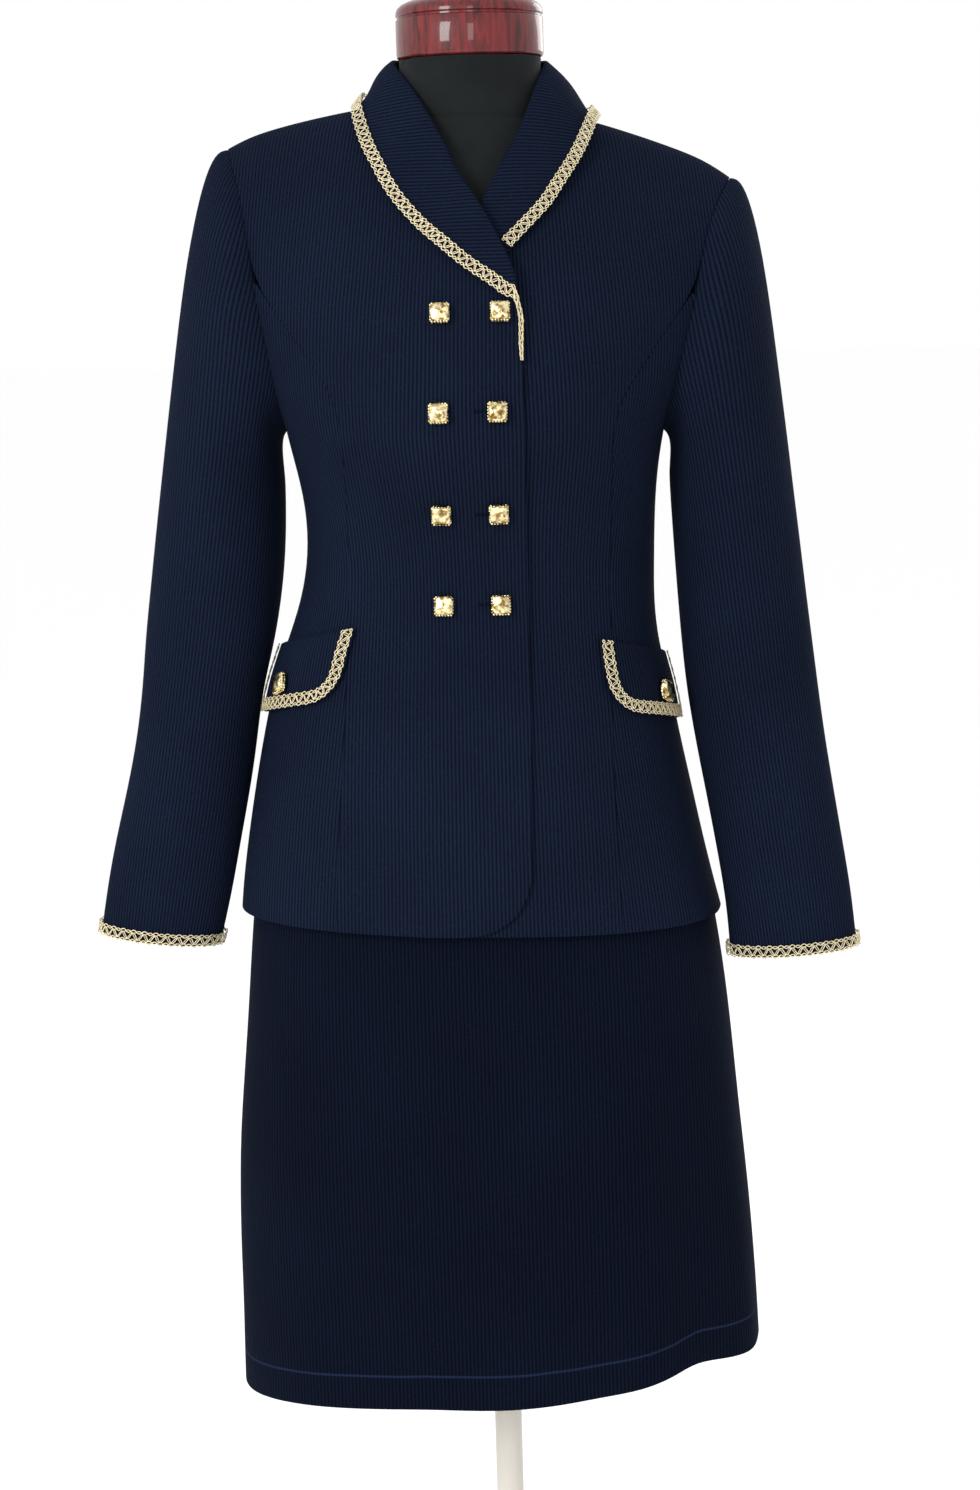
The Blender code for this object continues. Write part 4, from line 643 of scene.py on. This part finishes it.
# The ribbon's two lower edges are its only very sharp ones, so they give its middle, width and outer side.
def ribbonPath(nodeName, edgeAngle):
    bm = mergedNode(nodeName)
    beside = {}
    for edge in bm.edges:
        if edge.calc_face_angle() > math.radians(edgeAngle):
            for one, other in (edge.verts, reversed(edge.verts)):
                beside.setdefault(one, []).append(other)
    chains = []
    left = set(beside)
    closed = all(len(others) == 2 for others in beside.values())
    while left:
        start = next(v for v in sorted(left, key=lambda v: v.index) if closed or len(beside[v]) == 1)
        chain = [start]
        left.discard(start)
        while True:
            following = [v for v in beside[chain[-1]] if v in left]
            if not following:
                break
            chain.append(following[0])
            left.discard(following[0])
        chains.append([v.co.copy() for v in chain])
    other, one, *parted = sorted(chains, key=len, reverse=True)
    # a corner parts the collar's edge at the break of the lapel, so its runs are put end to end again
    for run in parted:
        fromStart = min((one[0] - point).length for point in (run[0], run[-1]))
        fromEnd = min((one[-1] - point).length for point in (run[0], run[-1]))
        if fromStart < fromEnd:
            one.reverse()
        if (run[0] - one[-1]).length > (run[-1] - one[-1]).length:
            run.reverse()
        one += run
    if closed:
        nearest = min(range(len(other)), key=lambda i: (other[i] - one[0]).length)
        other = other[nearest:] + other[:nearest]
        if (other[1] - one[1]).length > (other[-1] - one[1]).length:
            other = [other[0]] + other[:0:-1]
    elif (other[0] - one[0]).length > (other[-1] - one[0]).length:
        other.reverse()
    crest = [v.co.copy() for v in bm.verts if v not in beside]
    bm.free()
    sections = []
    for i in range(len(one)):
        middle, width = (one[i] + other[i]) / 2, one[i] - other[i]
        if closed:
            run = one[(i + 1) % len(one)] - one[i - 1]
        else:
            run = one[min(i + 1, len(one) - 1)] - one[max(i - 1, 0)]
        out = width.cross(run).normalized()
        top = min(crest, key=lambda point: (point - middle).length)
        if out.dot(top - middle) < 0:
            out = -out
        sections.append({"middle": middle, "width": width, "out": out})
    if closed:
        sections.append(sections[0])
    return sections, closed


def between(values, i, share, closed):
    count = len(values)

    def pick(n):
        return values[n % (count - 1)] if closed else values[min(max(n, 0), count - 1)]

    before, start, end, after = pick(i - 1), values[i], values[i + 1], pick(i + 2)
    return (start * 2 + (end - before) * share + (before * 2 - start * 5 + end * 4 - after) * share**2
            + (start * 3 - before - end * 3 + after) * share**3) / 2


def makeBraid(name, nodeName, shape, pitch):
    sections, closed = ribbonPath(nodeName, shape["edgeAngle"])
    columns = {key: [section[key] for section in sections] for key in ("middle", "width", "out")}
    lengths = [0.0]
    for a, b in zip(columns["middle"], columns["middle"][1:]):
        lengths.append(lengths[-1] + (b - a).length)
    repeats = max(round(lengths[-1] / pitch), 1)
    samples = repeats * shape["steps"]
    data = bpy.data.curves.new(name, "CURVE")
    data.dimensions = "3D"
    data.bevel_resolution = 1
    data.bevel_depth = 1.0
    data.use_fill_caps = True
    splines = []
    for cord in shape["cords"]:
        spline = data.splines.new("POLY")
        spline.points.add(samples - (1 if closed else 0))
        spline.use_cyclic_u = closed
        splines.append(spline)
    i = 0
    for n in range(samples + (0 if closed else 1)):
        place = lengths[-1] * n / samples
        while i < len(lengths) - 2 and lengths[i + 1] < place:
            i += 1
        share = min((place - lengths[i]) / max(lengths[i + 1] - lengths[i], 1e-9), 1.0)
        middle = between(columns["middle"], i, share, closed)
        width = between(columns["width"], i, share, closed)
        out = between(columns["out"], i, share, closed).normalized()
        scale = width.length / shape["width"]
        side = width.normalized() * scale
        for spline, cord in zip(splines, shape["cords"]):
            turn = 2 * math.pi * (n / shape["steps"] + cord["phase"])
            across = (cord["middle"] + cord["swing"] * math.sin(turn)) * mm
            high = (cord["height"] + cord["weave"] * math.cos(turn)) * mm * min(1.0, scale + 0.4)
            high += shape["lift"]
            spline.points[n].co = (*(middle + side * across + out * high), 1.0)
            spline.points[n].radius = cord["radius"] * mm * min(1.0, scale + 0.35)
    holder = bpy.data.objects.new(name + "Curve", data)
    bpy.context.scene.collection.objects.link(holder)
    mesh = finalMesh(holder)
    bm = bmesh.new()
    bm.from_mesh(mesh)
    bmesh.ops.remove_doubles(bm, verts=bm.verts, dist=mergeWithin["braid"])
    bm.to_mesh(mesh)
    bm.free()
    mesh.name = name
    print(name, "length %.3f" % lengths[-1], "faces", len(mesh.polygons))
    addPiece(name, mesh, braidThread, [nodeName])


braids = {
    "collarBraid": {"node": "collar_braid", "pitch": 7.4 * mm},
    "rightCuffBraid": {"node": "right_cuff_braid", "pitch": 9.2 * mm},
    "leftCuffBraid": {"node": "left_cuff_braid", "pitch": 9.2 * mm},
    "rightFlapBraid": {"node": "right_flap_braid", "pitch": 8.0 * mm},
    "leftFlapBraid": {"node": "left_flap_braid", "pitch": 8.0 * mm},
}
for name, row in braids.items():
    makeBraid(name, row["node"], braidShape, row["pitch"])
print("braid made")


# buttons: a square gold pillow like a hammered nugget, in a rim of small beads

buttonShape = {
    "size": 17 * mm, "pillow": 15.4 * mm, "depth": 5.2 * mm, "dome": 1.6 * mm, "corner": 0.17, "taper": 0.10,
    "bead": 1.05 * mm, "beadsOnSide": 6, "flatSide": 0.93, "nugget": 0.85 * mm, "nuggetSize": 4.6 * mm,
    "shank": 1.8 * mm, "gap": 1.6 * mm, "cuts": 9, "nuggetAbove": 1.5 * mm, "beadLevels": (1.2, 3.2),
}


def makeButton(name, nodeName, shape, seed):
    bm = mergedNode(nodeName)
    underside = sorted(bm.faces, key=lambda face: -face.calc_area())[:2]
    centre = sum((face.calc_center_median() for face in underside), Vector()) / 2
    out = -underside[0].normal
    bm.free()
    sideways = (Vector((1, 0, 0)) - out * out.x).normalized()
    turned = Matrix((sideways, out.cross(sideways), out)).transposed().to_4x4()
    bm = bmesh.new()
    bmesh.ops.create_cube(bm, size=1.0)
    bmesh.ops.subdivide_edges(bm, edges=bm.edges, cuts=shape["cuts"], use_grid_fill=True)
    half = shape["pillow"] / 2
    for vertex in bm.verts:
        x, y, z = vertex.co * 2
        reach = half * (1 - shape["corner"] * x * x * y * y) * (1 - shape["taper"] * max(z, 0.0) ** 2)
        crown = shape["dome"] * (1 - x * x) * (1 - y * y) if z > 0 else 0.0
        vertex.co = Vector((x * reach, y * reach, (z + 1) / 2 * (shape["depth"] + crown)))
    bm.normal_update()
    for vertex in bm.verts:
        lump = noise.noise(vertex.co / shape["nuggetSize"] + Vector((seed * 7.3, seed * 3.1, 0)))
        vertex.co += vertex.normal * lump * shape["nugget"] * (1 if vertex.co.z > shape["nuggetAbove"] else 0)
    reach = shape["size"] / 2 - shape["bead"]
    # beads stand out along the lower side and are nearly flush on the others
    for side in range(4):
        beadOut = reach if side == 0 else reach * shape["flatSide"]
        for n in range(shape["beadsOnSide"]):
            along = ((n + 0.5) / shape["beadsOnSide"] * 2 - 1) * reach * shape["flatSide"]
            for level in shape["beadLevels"]:
                spot = Matrix.Translation((along, -beadOut, shape["bead"] * level))
                place = Matrix.Rotation(side * math.pi / 2, 4, "Z") @ spot
                bmesh.ops.create_icosphere(bm, subdivisions=2, radius=shape["bead"], matrix=place)
    bmesh.ops.create_cone(bm, cap_ends=True, segments=12, radius1=shape["shank"], radius2=shape["shank"],
                          depth=shape["gap"] + 0.4 * mm, matrix=Matrix.Translation((0, 0, -shape["gap"] / 2)))
    bmesh.ops.transform(bm, matrix=Matrix.Translation(centre) @ turned, verts=bm.verts)
    addPiece(name, meshOf(bm, name), gold, [nodeName])


for number in range(1, 9):
    makeButton("frontButton%d" % number, "front_button_%d" % number, buttonShape, number)
makeButton("rightFlapButton", "right_flap_button", buttonShape, 9)
makeButton("leftFlapButton", "left_flap_button", buttonShape, 10)
print("buttons made")


# buttonholes: worked slits whose ends show beside the wearer's left column of buttons

buttonholeShape = {"buttons": ("front_button_4", "front_button_6", "front_button_8"), "reach": 17 * mm,
                   "inside": 2 * mm, "halfGap": 0.8 * mm, "thread": 0.45 * mm, "off": 0.2 * mm, "steps": 8}


def frontTree():
    mesh = cloth["rightFront"].data
    return BVHTree.FromPolygons([v.co for v in mesh.vertices], [list(f.vertices) for f in mesh.polygons])


def makeButtonholes(shape):
    tree = frontTree()
    bm = bmesh.new()
    for nodeName in shape["buttons"]:
        low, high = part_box(nodeName)
        middle = (low + high) / 2
        outline = []
        for n in range(shape["steps"] * 2):
            turn = math.pi * n / (shape["steps"] - 0.5) + math.pi / 2
            x = -shape["reach"] if math.cos(turn) < 0 else shape["inside"]
            outline.append((middle.x + x + math.cos(turn) * shape["halfGap"],
                            middle.z + math.sin(turn) * shape["halfGap"]))
        threadTurns = (0, math.pi / 3, math.pi * 2 / 3, math.pi, math.pi * 4 / 3, math.pi * 5 / 3)
        rings = []
        for n, (x, z) in enumerate(outline):
            hit, normal = tree.ray_cast(Vector((x, -1, z)), Vector((0, 1, 0)))[:2]
            following = outline[(n + 1) % len(outline)]
            before = outline[n - 1]
            run = Vector((following[0] - before[0], 0, following[1] - before[1])).normalized()
            side = run.cross(normal)
            rings.append([bm.verts.new(hit + normal * shape["off"] + side * shape["thread"] * math.cos(a)
                                       + normal * shape["thread"] * math.sin(a))
                          for a in threadTurns])
        for n, ring in enumerate(rings):
            after = rings[(n + 1) % len(rings)]
            for k in range(len(threadTurns)):
                following = (k + 1) % len(threadTurns)
                bm.faces.new((ring[k], ring[following], after[following], after[k]))
    bmesh.ops.recalc_face_normals(bm, faces=bm.faces)
    mesh = meshOf(bm, "buttonholes")
    piece = bpy.data.objects.new("buttonholes", mesh)
    bpy.context.scene.collection.objects.link(piece)
    mesh.uv_layers.new(name="rib")
    mesh.materials.append(knit)
    mesh.shade_smooth()
    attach(piece, "root")


makeButtonholes(buttonholeShape)


# the dress form and its stand

# the cover's seam round the neck and its pulls, with rows of points close enough to show them
torsoCover = {
    "creaseAngle": 60, "crease": 0.9, "levels": 2,
    "neckRows": {"first": 1.441, "count": 51, "apart": 2 * mm},
    "seam": {"height": 1.497, "tilt": -0.02, "width": 1.8 * mm, "depth": 1.2 * mm},
    "pulls": [
        {"start": (-0.045, -0.05, 1.545), "end": (0.035, -0.05, 1.512), "width": 0.006, "depth": -0.8 * mm},
        {"start": (-0.050, -0.05, 1.525), "end": (-0.005, -0.05, 1.535), "width": 0.005, "depth": 0.7 * mm},
        {"start": (0.010, -0.05, 1.530), "end": (0.050, -0.05, 1.538), "width": 0.005, "depth": -0.6 * mm},
        {"start": (-0.040, -0.06, 1.470), "end": (0.010, -0.075, 1.440), "width": 0.008, "depth": -0.7 * mm},
    ],
}


def makeTorso(cover):
    bm = mergedNode("form_torso")
    joinFlatFaces(bm)
    crease = bm.edges.layers.float.new("crease_edge")
    for edge in bm.edges:
        if edge.calc_face_angle(0) > math.radians(cover["creaseAngle"]):
            edge.smooth = False
        edge[crease] = 0.0 if edge.smooth else cover["crease"]
    mesh = subdividedMesh(meshOf(bm, "formTorso"), cover["levels"])
    mesh.name = "formTorso"
    rows = cover["neckRows"]
    bm = bmesh.new()
    bm.from_mesh(mesh)
    for n in range(rows["count"]):
        bmesh.ops.bisect_plane(bm, geom=bm.verts[:] + bm.edges[:] + bm.faces[:], plane_no=(0, 0, 1),
                               plane_co=(0, 0, rows["first"] + n * rows["apart"]))
    bm.to_mesh(mesh)
    bm.free()
    seam = cover["seam"]
    normals = [v.normal.copy() for v in mesh.vertices]
    for vertex, normal in zip(mesh.vertices, normals):
        away = (vertex.co.z - seam["height"] - seam["tilt"] * vertex.co.x) / seam["width"]
        vertex.co += normal * (foldDepth(vertex.co, cover["pulls"]) - seam["depth"] * math.exp(-away * away))
    return addPiece("formTorso", mesh, jersey, ["form_torso"])


def makeTurned(name, profile, centre, steps, material, replaced, closedProfile=False):
    bm = bmesh.new()
    corners = [bm.verts.new((centre[0] + radius, centre[1], height)) for radius, height in profile]
    edges = [bm.edges.new(pair) for pair in zip(corners, corners[1:])]
    if closedProfile:
        edges.append(bm.edges.new((corners[-1], corners[0])))
    bmesh.ops.spin(bm, geom=corners + edges, cent=(*centre, 0), axis=(0, 0, 1), angle=2 * math.pi,
                   steps=steps, use_merge=True)
    bmesh.ops.remove_doubles(bm, verts=bm.verts, dist=mergeWithin["turned"])
    bmesh.ops.recalc_face_normals(bm, faces=bm.faces)
    mesh = meshOf(bm, name)
    piece = addPiece(name, mesh, material, replaced)
    mesh.set_sharp_from_angle(angle=math.radians(40))
    return piece


# profiles run from the top down, as radius and height
capLow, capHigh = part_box("neck_cap")
capMiddle = ((capLow.x + capHigh.x) / 2, (capLow.y + capHigh.y) / 2)
capRadius = (capHigh.x - capLow.x) / 2
capProfile = [
    (0.0, capHigh.z), (0.020, capHigh.z - 0.0005), (0.036, capHigh.z - 0.0021), (0.047, capHigh.z - 0.0045),
    (0.0545, capHigh.z - 0.0076), (0.0580, capHigh.z - 0.0108), (capRadius - 0.0002, capHigh.z - 0.0138),
    (capRadius, capHigh.z - 0.0162), (capRadius - 0.0006, capHigh.z - 0.0170),
    (capRadius - 0.0014, capHigh.z - 0.0174), (capRadius - 0.0014, capHigh.z - 0.0188),
    (capRadius - 0.0006, capHigh.z - 0.0192), (capRadius, capHigh.z - 0.0200),
    (capRadius, capHigh.z - 0.0360), (capRadius - 0.0001, capHigh.z - 0.0465),
    (capRadius - 0.0006, capLow.z + 0.0016), (capRadius - 0.0020, capLow.z + 0.0004),
    (capRadius - 0.0040, capLow.z), (0.0, capLow.z),
]
poleLow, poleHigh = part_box("pole")
poleRadius = (poleHigh.x - poleLow.x) / 2
poleProfile = [(0.0, poleHigh.z), (poleRadius - 0.0008, poleHigh.z), (poleRadius, poleHigh.z - 0.0008),
               (poleRadius, poleLow.z), (0.0, poleLow.z)]
collarLow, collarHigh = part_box("pole_collar")
collarBore = poleRadius + 0.0003
poleCollarProfile = [
    (collarBore, collarHigh.z), (0.0160, collarHigh.z), (0.0180, collarHigh.z - 0.0008),
    (0.0187, collarHigh.z - 0.0030), (0.0192, 0.046), (0.0200, 0.036), (0.0222, 0.0285), (0.0262, 0.0228),
    (0.0305, 0.0198), (0.0326, 0.0172), (0.0330, collarLow.z), (collarBore, collarLow.z),
]
baseLow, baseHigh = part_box("base")
baseRadius = (baseHigh.x - baseLow.x) / 2
baseProfile = [
    (0.0, baseHigh.z), (0.060, baseHigh.z), (0.110, baseHigh.z - 0.0014), (0.160, baseHigh.z - 0.0034),
    (0.168, baseHigh.z - 0.0042), (0.1725, baseHigh.z - 0.0060), (baseRadius - 0.0004, baseHigh.z - 0.0082),
    (baseRadius, 0.0040), (baseRadius, 0.0006), (baseRadius - 0.0006, 0.0), (0.0, 0.0),
]
torso = makeTorso(torsoCover)
makeTurned("neckCap", capProfile, capMiddle, 96, wood, ["neck_cap"])
makeTurned("pole", poleProfile, (0, 0), 48, polePaint, ["pole"])
makeTurned("poleCollar", poleCollarProfile, (0, 0), 64, polePaint, ["pole_collar"],
           closedProfile=True)
makeTurned("base", baseProfile, (0, 0), 96, basePaint, ["base"])
print("form and stand made")


# each sheet's flat cut and how it is held are read here; nothing is done with them

for name, piece in clothPieces.items():
    width, length = piece["flat"]
    piece.get("held", "hung")


# floor and soft studio light

studio = {
    "floorRadius": 60.0, "floor": "#fefefe", "world": "#ffffff", "worldStrength": 1.0,
    "lights": [
        {"name": "windowLeft", "place": (-1.9, -2.6, 2.3), "size": (0.9, 1.6), "power": 60},
        {"name": "windowFront", "place": (0.25, -3.2, 2.2), "size": (0.5, 1.4), "power": 10},
        {"name": "fillBehind", "place": (1.6, 2.6, 2.2), "size": (1.5, 1.5), "power": 22},
    ],
}


def makeStudio(look):
    bm = bmesh.new()
    bmesh.ops.create_circle(bm, cap_ends=True, segments=96, radius=look["floorRadius"])
    mesh = meshOf(bm, "floor")
    floor = bpy.data.objects.new("floor", mesh)
    bpy.context.scene.collection.objects.link(floor)
    material = startMaterial("paleFloor", {
        "Base Color": colour(look["floor"]), "Roughness": 0.9, "Specular IOR Level": 0.1})[0]
    mesh.materials.append(material)
    world = bpy.data.worlds.new("softWhite")
    world.use_nodes = True
    world.node_tree.nodes["Background"].inputs["Color"].default_value = colour(look["world"])
    world.node_tree.nodes["Background"].inputs["Strength"].default_value = look["worldStrength"]
    bpy.context.scene.world = world
    for row in look["lights"]:
        data = bpy.data.lights.new(row["name"], "AREA")
        data.shape = "RECTANGLE"
        data.size, data.size_y = row["size"]
        data.energy = row["power"]
        light = bpy.data.objects.new(row["name"], data)
        bpy.context.scene.collection.objects.link(light)
        light.location = row["place"]
        aim = Vector((0, 0, 1.1)) - Vector(row["place"])
        light.rotation_euler = aim.to_track_quat("-Z", "Y").to_euler()


makeStudio(studio)
bpy.context.scene.view_settings.view_transform = "Standard"
print("studio made")
